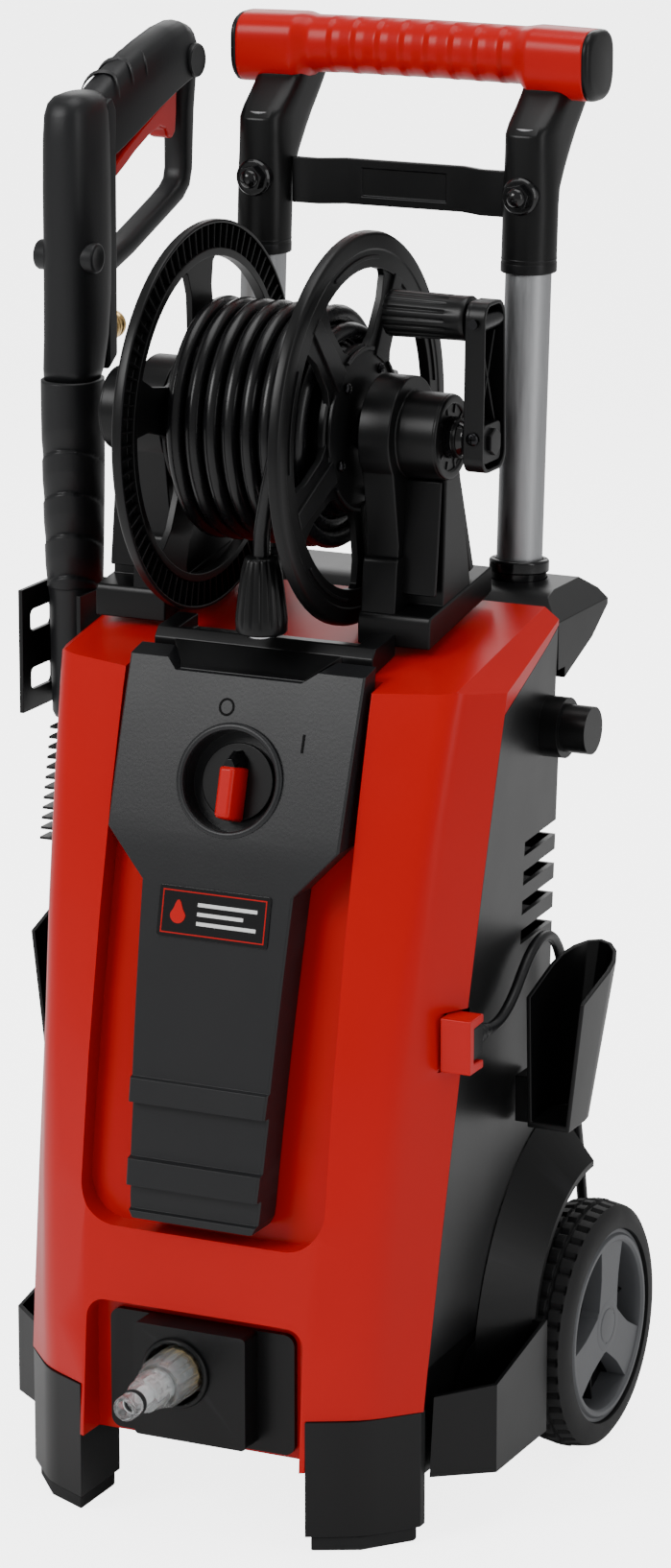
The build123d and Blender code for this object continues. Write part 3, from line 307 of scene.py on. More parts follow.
def make_power_cord():
    points = cord_route + coil_points() + tail_route
    cord = spline_object("power_cord_line", points, CORD_D, CORD, 4)
    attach(cord, "machine")
    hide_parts("power_cord", "cord_coil")


REEL = Vector((0.0, 0.0182, 0.6664))
REEL_AXIS = (REEL.y, REEL.z)
HOSE_D = 0.0105
hose_layers = (0.0494, 0.0599, 0.0701)
WIND_LOW = -0.0610
WIND_HIGH = 0.0255
LAYER_TURNS = 7
WIND_STEPS = 24
LAYER_STEPS = LAYER_TURNS * WIND_STEPS
hose_end_route = [
    (0.0242, -0.0590, 0.6940), (0.0218, -0.0638, 0.6770), (0.0180, -0.0660, 0.6590),
    (0.0138, -0.0654, 0.6410), (0.0100, -0.0636, 0.6250), (0.0072, -0.0618, 0.6120),
    (0.0072, -0.0618, 0.6000),
]


def winding_points():
    """Helix to and fro between the flanges, from the drum to the outermost layer."""
    pitch = (WIND_HIGH - WIND_LOW) / LAYER_TURNS
    points = []
    for layer, radius in enumerate(hose_layers):
        for step in range(LAYER_STEPS):
            along = WIND_LOW + pitch * step / WIND_STEPS
            if layer % 2:
                along = WIND_HIGH - pitch * step / WIND_STEPS
            rise = 0.0
            if layer + 1 < len(hose_layers):
                rise = max(0.0, 1.0 - (LAYER_STEPS - step) / (WIND_STEPS / 2))
            lift = eased(rise) * (hose_layers[min(layer + 1, 2)] - radius)
            angle = 2 * pi * (layer * LAYER_STEPS + step) / WIND_STEPS + 0.6
            reach = radius + lift
            points.append((along, REEL.y + reach * cos(angle), REEL.z + reach * sin(angle)))
    return points


def make_hose():
    points = winding_points()
    wound = spline_object("wound_hose", points, HOSE_D, HOSE, 3)
    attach(wound, "reel")
    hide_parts("hose_winding")
    loose = spline_object("loose_hose_end", hose_end_route, HOSE_D, HOSE, 8)
    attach(loose, "machine")
    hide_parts("hose_end")


make_power_cord()
make_hose()


# ---------------------------------------------------------------- making pieces
def soften(piece, edge, segments=2, angle=30.0):
    """Rounded edges, with flats that stay flat in the shading."""
    bevel = piece.modifiers.new("edges", "BEVEL")
    bevel.width = edge
    bevel.segments = segments
    bevel.limit_method = "ANGLE"
    bevel.angle_limit = radians(angle)
    normals = piece.modifiers.new("normals", "WEIGHTED_NORMAL")
    normals.weight = 85
    normals.keep_sharp = False


def piece_from(name, bm, material, body, soft=None, smooth=True):
    """Turns a bmesh into a piece that rides on a body; soft holds what soften takes."""
    bmesh.ops.recalc_face_normals(bm, faces=bm.faces)
    mesh = bpy.data.meshes.new(name)
    bm.to_mesh(mesh)
    bm.free()
    mesh.materials.append(material)
    for face in mesh.polygons:
        face.use_smooth = smooth
    piece = bpy.data.objects.new(name, mesh)
    scene.collection.objects.link(piece)
    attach(piece, body)
    if soft:
        soften(piece, *soft)
    return piece


def placed(axis, along, first, second):
    """Point whose coordinate on the axis is along; the other two follow in X, Y, Z order."""
    if axis == "x":
        return Vector((along, first, second))
    if axis == "y":
        return Vector((first, along, second))
    return Vector((first, second, along))


def moved(outline, first, second):
    return [(a + first, b + second) for a, b in outline]


def turned(outline, angle, centre):
    """Outline turned by an angle about the origin, then moved to a centre."""
    c, s = cos(angle), sin(angle)
    return [(centre[0] + a * c - b * s, centre[1] + a * s + b * c) for a, b in outline]


def shifted(profile, sign, start=0.0):
    """Lathe profile counted from a start, in the direction of a sign."""
    return [(start + sign * along, radius) for along, radius in profile]


def circle(radius, count=32, start=0.0):
    angles = [start + 2 * pi * i / count for i in range(count)]
    return [(radius * cos(t), radius * sin(t)) for t in angles]


def rounded_box(width, height, radius, steps=4):
    """Outline of a rectangle with round corners, about the origin."""
    points = []
    for sx, sy, first in ((1, 1, 0.0), (-1, 1, 90.0), (-1, -1, 180.0), (1, -1, 270.0)):
        cx = sx * (width / 2 - radius)
        cy = sy * (height / 2 - radius)
        for i in range(steps + 1):
            angle = radians(first + 90.0 * i / steps)
            points.append((cx + radius * cos(angle), cy + radius * sin(angle)))
    return points


def rectangle(width, height):
    w, h = width / 2, height / 2
    return [(-w, -h), (w, -h), (w, h), (-w, h)]


def swung(value, power):
    """Power of the size of a value, with the value's sign."""
    return copysign(abs(value) ** power, value)


def superellipse(half_a, half_b, power, count):
    """Outline between an ellipse (power 2) and a rectangle, about the origin."""
    return [(half_a * swung(c, 2 / power), half_b * swung(s, 2 / power)) for c, s in circle(1.0, count)]


def hoop(axis, along, centre, outline):
    """Outline set round a centre, at a place on an axis."""
    return [placed(axis, along, a, b) for a, b in moved(outline, *centre)]


def rippled(axis, along, centre, count, reach):
    """Hoop about an axis; reach(i) is the radius at step i."""
    outline = [(reach(i) * c, reach(i) * s) for i, (c, s) in enumerate(circle(1.0, count))]
    return hoop(axis, along, centre, outline)


def fluted(axis, along, centre, flutes, radius, depth):
    """Hoop with flutes cut into it, eight steps to a flute."""
    return rippled(axis, along, centre, 8 * flutes,
                   lambda i: radius - depth * max(0.0, cos(2 * pi * i / 8)) ** 2)


def add_rows(bm, rings, steps):
    """Quads between each ring of vertices and the next."""
    for k in range(steps):
        first, second = rings[k], rings[(k + 1) % len(rings)]
        for i in range(len(first)):
            j = (i + 1) % len(first)
            bm.faces.new((first[i], second[i], second[j], first[j]))


def add_hoops(bm, loops):
    """Skin that runs over the loops and back to the first, as round a ring."""
    rings = [[bm.verts.new(point) for point in loop] for loop in loops]
    add_rows(bm, rings, len(rings))


def add_loft(bm, sections):
    """Closed solid over sections that have the same number of points."""
    rings = [[bm.verts.new(point) for point in section] for section in sections]
    add_rows(bm, rings, len(rings) - 1)
    bm.faces.new(rings[0])
    bm.faces.new(list(reversed(rings[-1])))


def add_prism(bm, axis, outline, low, high):
    add_loft(bm, [hoop(axis, along, (0.0, 0.0), outline) for along in (low, high)])


def add_lathe(bm, axis, centre, profile, segments=48, closed=False):
    """Turned shape about an axis through centre, its two cross coordinates; profile holds (along, radius).
    A closed profile is a ring's section; an open one is capped at both ends."""
    rings = [hoop(axis, along, centre, circle(radius, segments)) for along, radius in profile]
    if closed:
        add_hoops(bm, rings)
    else:
        add_loft(bm, rings)


# ---------------------------------------------------------------- CAD nodes that stay
def dress(node, material, edge):
    """Gives a CAD node its material and softly rounded edges."""
    piece = NODES[node]
    piece.data.materials.clear()
    piece.data.materials.append(material)
    for face in piece.data.polygons:
        face.material_index = 0
        face.use_smooth = True
    weld = piece.modifiers.new("weld", "WELD")
    weld.merge_threshold = 0.00002
    flats = piece.modifiers.new("flats", "DECIMATE")
    flats.decimate_type = "DISSOLVE"
    flats.angle_limit = radians(0.6)
    soften(piece, edge, 2, 28.0)


for material, edge, nodes in (
        (RED, 0.0025, "front_cover"), (BRASS, 0.0004, "inlet_fitting"), (STEEL, 0.0006, "axle"),
        (TUBE, 0.0003, "handle_tubes"), (STEEL, 0.0003, "lance_tube"), (STEEL, 0.001, "motor pump"),
        (GREY, 0.001, "switch_box"), (PAD, 0.0015, "foot_pads"), (GLOSS, 0.0006, "tube_collars"),
        (BOLT, 0.0004, "crank_pin"), (DEEP_RED, 0.0008, "cord_clip"), (BLACK, 0.002, "front_feet"),
        (BLACK, 0.0005, "reel_shaft cord_gland"), (BLACK, 0.0015, "back_frame"),
        (BLACK, 0.0008, "switch_knob rear_cover reel_drum top_tray"),
        (BLACK, 0.001, "inlet_plate base_frame lance_clip"),
        (BLACK, 0.0012, "side_cover_left side_cover_right side_tray_left side_tray_right"),
        (BLACK, 0.0012, "crossbar side_cup_left side_cup_right mains_plug"),
        (BLACK, 0.0018, "reel_tower_left reel_tower_right")):
    for node in nodes.split():
        dress(node, material, edge)


# ---------------------------------------------------------------- wheels
WHEEL = (0.100, 0.080)     # axle position (y, z)
TYRE_INNER = 0.138
TYRE_SEGMENTS = 168
GROOVE = 0.0028


def make_tyre(side, word):
    """Tyre with a crowned block tread: cross grooves are staggered in three rows."""
    bead, shoulder, crown = 0.0630, 0.0770, 0.0800
    section = [
        (0.0, bead, 0), (0.0, bead + 0.006, 0), (0.0015, shoulder - 0.003, 0), (0.0040, shoulder + 0.0006, 0),
        (0.0055, shoulder + 0.0010, 1), (0.0125, crown - 0.0008, 1), (0.0130, crown - 0.0030, 0),
        (0.0150, crown - 0.0030, 0), (0.0155, crown - 0.0001, 2), (0.0215, crown - 0.0001, 2),
        (0.0220, crown - 0.0030, 0), (0.0240, crown - 0.0030, 0), (0.0245, crown - 0.0008, 1),
        (0.0315, shoulder + 0.0010, 1), (0.0330, shoulder + 0.0006, 0), (0.0355, shoulder - 0.003, 0),
        (0.0370, bead + 0.006, 0), (0.0370, bead, 0),
    ]
    loops = []
    for along, radius, row in section:
        groove_step = {1: 0, 2: 2}.get(row)
        loops.append(rippled("x", side * (TYRE_INNER + along), WHEEL, TYRE_SEGMENTS,
                             lambda i: radius - (GROOVE if i % 4 == groove_step else 0.0)))
    bm = bmesh.new()
    add_hoops(bm, loops)
    tyre = piece_from(f"tyre_{word}_tread", bm, TYRE, "wheel_" + word, (0.0004, 1, 24.0))
    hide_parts("tyre_" + word)


def wheel_spoke():
    """Broad spoke that widens towards the rim with curved flanks."""
    flank = []
    for i in range(7):
        share = i / 6
        half = 0.0150 - 0.0030 * share + 0.0125 * max(0.0, share - 0.45) ** 1.2
        flank.append((0.006 + share * 0.0510, half))
    return flank + [(radius, -half) for radius, half in reversed(flank)]


def make_rim(side, word):
    """Three-spoke rim: stepped ring, dished spokes, web behind them, hub and cap."""
    body = "wheel_" + word
    bm = bmesh.new()
    ring = [(0.1440, 0.0632), (0.1440, 0.0550), (0.1680, 0.0535), (0.1730, 0.0545), (0.1745, 0.0560),
            (0.1745, 0.0585), (0.1725, 0.0600), (0.1725, 0.0625), (0.1710, 0.0632)]
    add_lathe(bm, "x", WHEEL, shifted(ring, side), 96, closed=True)
    for k in range(3):
        add_prism(bm, "x", turned(wheel_spoke(), radians(83 + 120 * k), WHEEL), side * 0.1600, side * 0.1725)
    hub = [(0.1440, 0.0110), (0.1440, 0.0160), (0.1600, 0.0175), (0.1600, 0.0185), (0.1722, 0.0182),
           (0.1727, 0.0160), (0.1727, 0.0122), (0.1720, 0.0118), (0.1720, 0.0110)]
    add_lathe(bm, "x", WHEEL, shifted(hub, side), 64, closed=True)
    rim = piece_from(f"wheel_rim_{word}_face", bm, GREY, body, (0.0009, 2, 32.0))
    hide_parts("wheel_rim_" + word)
    bm = bmesh.new()
    web = [(0.1520, 0.0105), (0.1520, 0.0560), (0.1550, 0.0560), (0.1550, 0.0105)]
    add_lathe(bm, "x", WHEEL, shifted(web, side), 64, closed=True)
    rib = [(0.022, 0.0009), (0.055, 0.0009), (0.055, -0.0009), (0.022, -0.0009)]
    for k in range(12):
        add_prism(bm, "x", turned(rib, 2 * pi * k / 12 + 0.1, WHEEL), side * 0.1545, side * 0.1600)
    piece_from(f"wheel_rim_{word}_web", bm, BLACK, body, (0.0004, 1))
    bm = bmesh.new()
    cap = [(0.1600, 0.0112), (0.1722, 0.0114), (0.1730, 0.0106), (0.1733, 0.0060), (0.1734, 0.0012)]
    add_lathe(bm, "x", WHEEL, shifted(cap, side))
    piece_from(f"wheel_rim_{word}_cap", bm, GREY, body, (0.0004, 2))


for side, word in ((-1, "left"), (1, "right")):
    make_tyre(side, word)
    make_rim(side, word)


# ---------------------------------------------------------------- grip of the handle
GRIP = (0.184, 0.876)      # grip centre (y, z)
GRIP_END = 0.1190
GRIP_STATIONS = 171
GRIP_PITCH = 0.0014
GRIP_STEPS = 8
STEP_START = -0.0585
STEP_LENGTH = 0.0167


def grip_section(x, inset=0.0):
    """Rounded section of the grip; finger steps press into its front and top."""
    flare = eased(min(1.0, max(0.0, (abs(x) - 0.070) / 0.012)))
    wide = 0.0180 + 0.0022 * flare - inset
    tall = 0.0182 + 0.0014 * flare - inset
    lift = 0.0016 * (1 - (x / 0.125) ** 2)
    phase = (x - STEP_START) / STEP_LENGTH
    dip = 0.0
    if 0 <= phase < GRIP_STEPS and phase - int(phase) >= 0.12:
        dip = 0.0019 * min(1.0, (1.0 - phase + int(phase)) / 0.5)
    points = []
    for i in range(40):
        c, s = cos(2 * pi * i / 40), sin(2 * pi * i / 40)
        front = max(0.0, -c) ** 0.5
        square = 1 + (0.045 + 0.085 * flare) * sin(4 * pi * i / 40) ** 2
        reach_y = (wide - dip * front) * square * (1 + (0.14 * flare if c < 0 else 0.0))
        reach_z = (tall - dip * front * 0.8) * square * (1 + (0.26 * flare if s < 0 else 0.0))
        points.append(Vector((x, GRIP[0] + reach_y * c, GRIP[1] + lift + reach_z * s)))
    return points


def make_grip():
    bm = bmesh.new()
    add_loft(bm, [grip_section(GRIP_PITCH * i - GRIP_END) for i in range(GRIP_STATIONS)])
    grip = piece_from("grip_red", bm, RED, "handle")
    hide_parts("grip_shell")
    ends = ((0.1190, 0.0), (0.1215, 0.0002), (0.1232, 0.0016), (0.1240, 0.0042))
    for side, word in ((-1, "left"), (1, "right")):
        bm = bmesh.new()
        add_loft(bm, [[Vector((side * x, p.y, p.z)) for p in grip_section(x, inset)] for x, inset in ends])
        cap = piece_from("grip_end_" + word, bm, BLACK, "handle")
        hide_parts("grip_caps")


make_grip()


# ---------------------------------------------------------------- hose reel
FLANGE_R = 0.121
FLANGE_THICK = 0.007
SPOKES = 5
RIBS = 84
RIGHT_SPOKE = radians(60)
LEFT_SPOKE = radians(96)


def make_flange(name, outer, inward, first_angle):
    """Flange with a lipped rim, flared spokes, a hub dish and a ring of small radial ribs inside the rim."""
    def disc(bm, profile, segments):
        add_lathe(bm, "x", REEL_AXIS, shifted(profile, inward, outer), segments, closed=True)

    def bar(bm, outline, angle, low, high):
        add_prism(bm, "x", turned(outline, angle, REEL_AXIS), outer + inward * low, outer + inward * high)

    rim = [(0.0, 0.0985), (0.0, 0.1095), (-0.0007, 0.1102), (-0.0007, 0.1180), (0.0004, 0.1200),
           (0.0022, FLANGE_R), (0.0065, FLANGE_R), (FLANGE_THICK, 0.1202), (FLANGE_THICK, 0.1188),
           (0.0026, 0.1183), (0.0026, 0.1040), (FLANGE_THICK, 0.1035), (FLANGE_THICK, 0.0985)]
    hub = [(0.0, 0.0125), (-0.0030, 0.0180), (-0.0030, 0.0300), (0.0005, 0.0480), (0.0030, 0.0520),
           (FLANGE_THICK, 0.0520), (FLANGE_THICK, 0.0125)]
    flank = [(0.044, 0.0210), (0.056, 0.0150), (0.080, 0.0138), (0.094, 0.0175), (0.1005, 0.0270)]
    spoke = flank + [(radius, -half) for radius, half in reversed(flank)]
    ridge = [(0.046, 0.0075), (0.100, 0.0055), (0.100, -0.0055), (0.046, -0.0075)]
    rib = [(0.1035, 0.0006), (0.1185, 0.0006), (0.1185, -0.0006), (0.1035, -0.0006)]
    bm = bmesh.new()
    disc(bm, rim, 120)
    disc(bm, hub, 72)
    for k in range(SPOKES):
        angle = first_angle + 2 * pi * k / SPOKES
        bar(bm, spoke, angle, 0.0012, 0.0058)
        bar(bm, ridge, angle, -0.0008, 0.0020)
    for k in range(RIBS):
        bar(bm, rib, 2 * pi * k / RIBS, 0.0024, 0.0064)
    moulding = piece_from(name + "_moulding", bm, BLACK, "reel", (0.0006, 2, 32.0))
    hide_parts(name)
    bm = bmesh.new()
    for k in range(SPOKES):
        for radius, half in ((0.1040, 17.0), (0.0485, 22.0)):
            angles = [radians(-half + 2 * half * i / 12) for i in range(13)]
            arc = [(radius * cos(t), radius * sin(t)) for t in angles]
            arc += [((radius + 0.0022) * cos(t), (radius + 0.0022) * sin(t)) for t in reversed(angles)]
            bar(bm, arc, first_angle + 2 * pi * (k + 0.5) / SPOKES, -0.0012, 0.0010)
    piece_from(name + "_arcs", bm, BLACK, "reel", (0.0003, 1))


def make_screw(name, axis, along, centre, radius, out, body):
    """Cross-recessed pan head; out is +1 or -1 along the axis."""
    bm = bmesh.new()
    head = [(0.0, 1.0), (0.35, 0.95), (0.62, 0.6), (0.70, 0.15)]
    profile = [(along + out * radius * rise, radius * share) for rise, share in head]
    add_lathe(bm, axis, centre, profile, 28)
    piece_from(name, bm, BOLT, body)
    bm = bmesh.new()
    for length, width in ((1.24, 0.24), (0.24, 1.24)):
        slot = moved(rectangle(radius * length, radius * width), *centre)
        add_prism(bm, axis, slot, along + out * radius * 0.50, along + out * radius * 0.715)
    piece_from(name + "_recess", bm, INK, body)


make_flange("reel_flange_left", -0.0735, 1, LEFT_SPOKE)
make_flange("reel_flange_right", 0.0380, -1, RIGHT_SPOKE)
for k, centre in enumerate(moved(circle(0.040, SPOKES, RIGHT_SPOKE), *REEL_AXIS)):
    make_screw(f"flange_screw_{k + 1}", "x", 0.0395, centre, 0.0034, 1, "reel")


# ---------------------------------------------------------------- crank
ARM_MIDDLE = (REEL.y, 0.700)
CRANK_PIN = (REEL.y, 0.740)


def make_crank_arm():
    """Channel-shaped arm with a cross rib and the nut of its shaft."""
    outline = []
    for a, b in rounded_box(0.036, 0.104, 0.010, 5):
        outline.append((a * (1.0 - 0.16 * max(0.0, b) / 0.052), b))
    wall = moved(outline, *ARM_MIDDLE)
    lining = moved([(a * 0.86, b * 0.955) for a, b in outline], *ARM_MIDDLE)
    bm = bmesh.new()
    add_prism(bm, "x", wall, 0.1120, 0.1150)
    loops = ((0.1140, wall), (0.1250, wall), (0.1250, lining), (0.1140, lining))
    add_hoops(bm, [[Vector((x, a, b)) for a, b in loop] for x, loop in loops])
    rise = 0.030
    half = 0.0009
    for foot in (-0.0125, 0.0125):
        head = -0.85 * foot
        rib = [(foot - half, -rise), (foot + half, -rise), (head + half, rise), (head - half, rise)]
        add_prism(bm, "x", moved(rib, REEL.y, 0.703), 0.1145, 0.1205)
    add_prism(bm, "x", moved(rounded_box(0.026, 0.024, 0.004), REEL.y, 0.6655), 0.1145, 0.1235)
    add_prism(bm, "x", moved(circle(0.0085, 6, 0.5), REEL.y, 0.6660), 0.1230, 0.1262)
    arm = piece_from("crank_channel", bm, BLACK, "reel", (0.0007, 2, 34.0))
    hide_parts("crank_arm")
    bm = bmesh.new()
    neck = [(0.0965, 0.0100), (0.0985, 0.0130), (0.1030, 0.0118), (0.1060, 0.0098), (0.1085, 0.0098),
            (0.1110, 0.0125), (0.1130, 0.0130)]
    add_lathe(bm, "x", REEL_AXIS, neck, 40)
    piece_from("crank_neck", bm, GLOSS, "reel")


def make_crank_grip():
    """Fluted grip that turns on the crank's pin; rows hold (x, share of the radius, share of the flutes)."""
    rows = [(0.0553, 0.78, 0.0), (0.0556, 0.90, 0.2), (0.0566, 0.985, 1.0), (0.0600, 1.0, 1.0),
            (0.0800, 0.97, 1.0), (0.0960, 0.955, 1.0), (0.0975, 0.95, 0.0), (0.1060, 0.955, 0.0),
            (0.1088, 0.97, 0.0), (0.1098, 0.93, 0.0)]
    bm = bmesh.new()
    add_loft(bm, [fluted("x", x, CRANK_PIN, 16, 0.0144 * share, 0.0013 * depth) for x, share, depth in rows])
    grip = piece_from("crank_fluted_grip", bm, BLACK, "crank_handle")
    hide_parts("crank_grip")


make_crank_arm()
make_crank_grip()
make_screw("crank_pivot_screw", "y", REEL.y - 0.0176, (0.1185, 0.6700), 0.0042, -1, "reel")


# ---------------------------------------------------------------- hose coupling
COUPLING = (0.0072, -0.0618)     # its axis (x, y)


def make_coupling():
    """Ribbed union that widens downwards, with a bright insert in its mouth."""
    rows = [(0.6000, 0.0080, 0.0), (0.5995, 0.0098, 0.0), (0.5975, 0.0108, 0.6), (0.5900, 0.0128, 1.0),
            (0.5640, 0.0158, 1.0), (0.5600, 0.0160, 0.5), (0.5580, 0.0158, 0.0), (0.5545, 0.0158, 0.0),
            (0.5530, 0.0148, 0.0), (0.5530, 0.0100, 0.0)]
    bm = bmesh.new()
    add_loft(bm, [rippled("z", z, COUPLING, 128, lambda i: radius - (0.0012 * depth if i % 8 < 2 else 0.0))
                  for z, radius, depth in rows])
    sleeve = piece_from("coupling_ribbed", bm, BLACK, "machine")
    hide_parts("hose_coupling")
    bm = bmesh.new()
    insert = [(0.5528, 0.0098), (0.5505, 0.0094), (0.5502, 0.0072), (0.5530, 0.0070)]
    add_lathe(bm, "z", COUPLING, insert, 40, closed=True)
    piece_from("coupling_insert", bm, STEEL, "machine")


make_coupling()


# ---------------------------------------------------------------- gun and lance
GUN_X = -0.169
LANCE_AXIS = (GUN_X, 0.027)
LOCK_AT = (0.027, 0.757)     # cross bolt (y, z)
PIVOT_AT = (0.1755, 0.8625)  # trigger pivot (y, z)
SLEEVE_LOW = 0.548
SLEEVE_HIGH = 0.6792
SLEEVE_LEVELS = 168
FINGER_PITCH = 0.0270
FINGERS = 4


def squircle(half_x, half_y, cx, cy, z, power=2.6, count=40):
    return hoop("z", z, (cx, cy), superellipse(half_x, half_y, power, count))


def make_gun_column():
    """Tall rounded column of the gun, closed by a dome, with a rail behind it."""
    rows = [
        (0.6795, 0.0150, 0.0170, 0.0310), (0.6860, 0.0158, 0.0190, 0.0330), (0.7050, 0.0160, 0.0222, 0.0370),
        (0.7300, 0.0160, 0.0245, 0.0392), (0.7600, 0.0159, 0.0255, 0.0400), (0.8000, 0.0157, 0.0258, 0.0400),
        (0.8300, 0.0154, 0.0255, 0.0402), (0.8450, 0.0148, 0.0246, 0.0406), (0.8520, 0.0134, 0.0226, 0.0412),
        (0.8560, 0.0108, 0.0186, 0.0420), (0.8578, 0.0068, 0.0120, 0.0430), (0.8583, 0.0024, 0.0050, 0.0436),
    ]
    bm = bmesh.new()
    add_loft(bm, [squircle(1.10 * hx, 1.04 * hy, GUN_X, cy - 0.0012, z) for z, hx, hy, cy in rows])
    column = piece_from("gun_column", bm, GUN, "gun")
    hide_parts("gun_body")
    bm = bmesh.new()
    rail = [(0.0520, 0.682), (0.0640, 0.690), (0.0650, 0.845), (0.0600, 0.853), (0.0520, 0.850)]
    add_prism(bm, "x", rail, GUN_X - 0.0148, GUN_X + 0.0148)
    piece_from("gun_rear_rail", bm, GUN, "gun", (0.0018, 3))


def arch(share, half, rise):
    """Point (across, height) on the round top of the grip; share runs from one foot to the other."""
    return half * swung(cos(pi * share), 0.7), rise * abs(sin(pi * share)) ** 0.62


def grip_ring(y, low, top, half, slot_top):
    """Inverted U: round top, with a slot for the trigger from below."""
    outer = moved([arch(i / 12, half, top - low) for i in range(13)], 0.0, low)
    inner = [(-0.0082, low), (-0.0082, slot_top), (0.0082, slot_top), (0.0082, low)]
    return hoop("y", y, (GUN_X, 0.0), outer + inner)


def grip_ridge(along, top):
    """Thin ridge over the top of the grip, swept back towards its feet."""
    sections = []
    for i in range(15):
        share = i / 14
        arc = (28 + 124 * share) / 180
        across, rise = arch(arc, 0.0156, 0.0405)
        back = along - 0.0085 * abs(cos(pi * arc)) ** 1.4
        size = 0.0014 * max(0.0, sin(pi * share)) ** 0.4 + 0.0002
        height = top - 0.0395 + rise
        sections.append([Vector((GUN_X + across, back + size * cos(t), height + size * sin(t)))
                         for t in (0.3, 1.9, 3.5, 5.0)])
    return sections


def make_gun_grip():
    rows = [
        (0.056, 0.814, 0.8560, 0.0148, 0.838), (0.075, 0.820, 0.8640, 0.0150, 0.846),
        (0.100, 0.829, 0.8735, 0.0152, 0.855), (0.125, 0.838, 0.8805, 0.0152, 0.862),
        (0.150, 0.846, 0.8862, 0.0150, 0.868), (0.170, 0.851, 0.8885, 0.0146, 0.870),
        (0.181, 0.853, 0.8850, 0.0138, 0.869), (0.186, 0.857, 0.8770, 0.0120, 0.866),
    ]
    bm = bmesh.new()
    add_loft(bm, [grip_ring(*row) for row in rows])
    piece_from("gun_grip_arm", bm, GUN, "gun", (0.0010, 2, 40.0))
    bm = bmesh.new()
    for k in range(5):
        add_loft(bm, grip_ridge(0.078 + 0.019 * k, 0.8650 + 0.0066 * k - 0.0009 * k * k))
    piece_from("gun_grip_ridges", bm, GUN, "gun", (0.0003, 1))


def bar_ring(y, z, turn, half_x, half_t):
    """Rounded section across a path in the gun's plane; turn is the path's direction in degrees."""
    c, s = cos(radians(turn)), sin(radians(turn))
    return [Vector((GUN_X + a, y - b * s, z + b * c)) for a, b in superellipse(half_x, half_t, 3.0, 24)]


def both_ends(end):
    """Lathe profile of a shape across the gun, from the profile of one of its two equal ends."""
    return shifted(end, -1, GUN_X) + shifted(reversed(end), 1, GUN_X)


def make_gun_loop():
    path = [
        (0.058, 0.7440, 8, 0.0092, 0.0080), (0.075, 0.7470, 11, 0.0090, 0.0070),
        (0.100, 0.7535, 17, 0.0088, 0.0062), (0.130, 0.7640, 20, 0.0088, 0.0060),
        (0.155, 0.7728, 20, 0.0088, 0.0060), (0.168, 0.7778, 26, 0.0088, 0.0062),
        (0.1755, 0.7835, 55, 0.0088, 0.0064), (0.1785, 0.7920, 80, 0.0088, 0.0066),
        (0.1792, 0.8100, 89, 0.0090, 0.0070), (0.1790, 0.8300, 91, 0.0098, 0.0074),
        (0.1785, 0.8500, 92, 0.0118, 0.0076), (0.1778, 0.8640, 93, 0.0135, 0.0078),
    ]
    bm = bmesh.new()
    add_loft(bm, [bar_ring(*row) for row in path])
    piece_from("gun_guard_loop", bm, GUN, "gun")
    bm = bmesh.new()
    add_lathe(bm, "x", PIVOT_AT, both_ends([(0.0160, 0.0085), (0.0168, 0.0105), (0.0150, 0.0112)]), 40)
    piece_from("gun_pivot_boss", bm, GUN, "gun", (0.0004, 2))


def make_trigger():
    profile = [
        (0.0765, 0.8010), (0.0780, 0.8085), (0.0900, 0.8150), (0.1150, 0.8262), (0.1400, 0.8365),
        (0.1580, 0.8440), (0.1640, 0.8560), (0.1720, 0.8655), (0.1786, 0.8610), (0.1720, 0.8500),
        (0.1640, 0.8440), (0.1632, 0.8290), (0.1618, 0.8180), (0.1570, 0.8140), (0.1510, 0.8158),
        (0.1475, 0.8215), (0.1400, 0.8236), (0.1250, 0.8200), (0.1050, 0.8120), (0.0900, 0.8045),
        (0.0800, 0.8000),
    ]
    bm = bmesh.new()
    add_prism(bm, "x", profile, GUN_X - 0.0070, GUN_X + 0.0070)
    blade = piece_from("trigger_blade", bm, DEEP_RED, "trigger", (0.0020, 3, 30.0))
    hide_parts("gun_trigger")


def make_lock_buttons():
    """Cross bolt whose dished ends stand out on both sides of the column."""
    end = [(0.0195, 0.0004), (0.0198, 0.0050), (0.0208, 0.0075), (0.0206, 0.0089), (0.0195, 0.0095)]
    bm = bmesh.new()
    add_lathe(bm, "x", LOCK_AT, both_ends(end), 40)
    bolt = piece_from("lock_cross_bolt", bm, GUN, "lock_button")
    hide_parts("gun_lock")


def make_brass_fitting():
    profile = [(0.0560, 0.0102), (0.0700, 0.0104), (0.0712, 0.0110), (0.0742, 0.0110), (0.0750, 0.0092),
               (0.0765, 0.0088), (0.0775, 0.0096), (0.0800, 0.0096), (0.0812, 0.0082), (0.0826, 0.0082),
               (0.0838, 0.0090), (0.0866, 0.0090), (0.0876, 0.0080), (0.0880, 0.0060), (0.0840, 0.0058)]
    bm = bmesh.new()
    add_lathe(bm, "y", (GUN_X, 0.705), profile)
    fitting = piece_from("gun_brass_inlet", bm, BRASS, "gun", (0.0003, 1))
    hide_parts("gun_fitting")


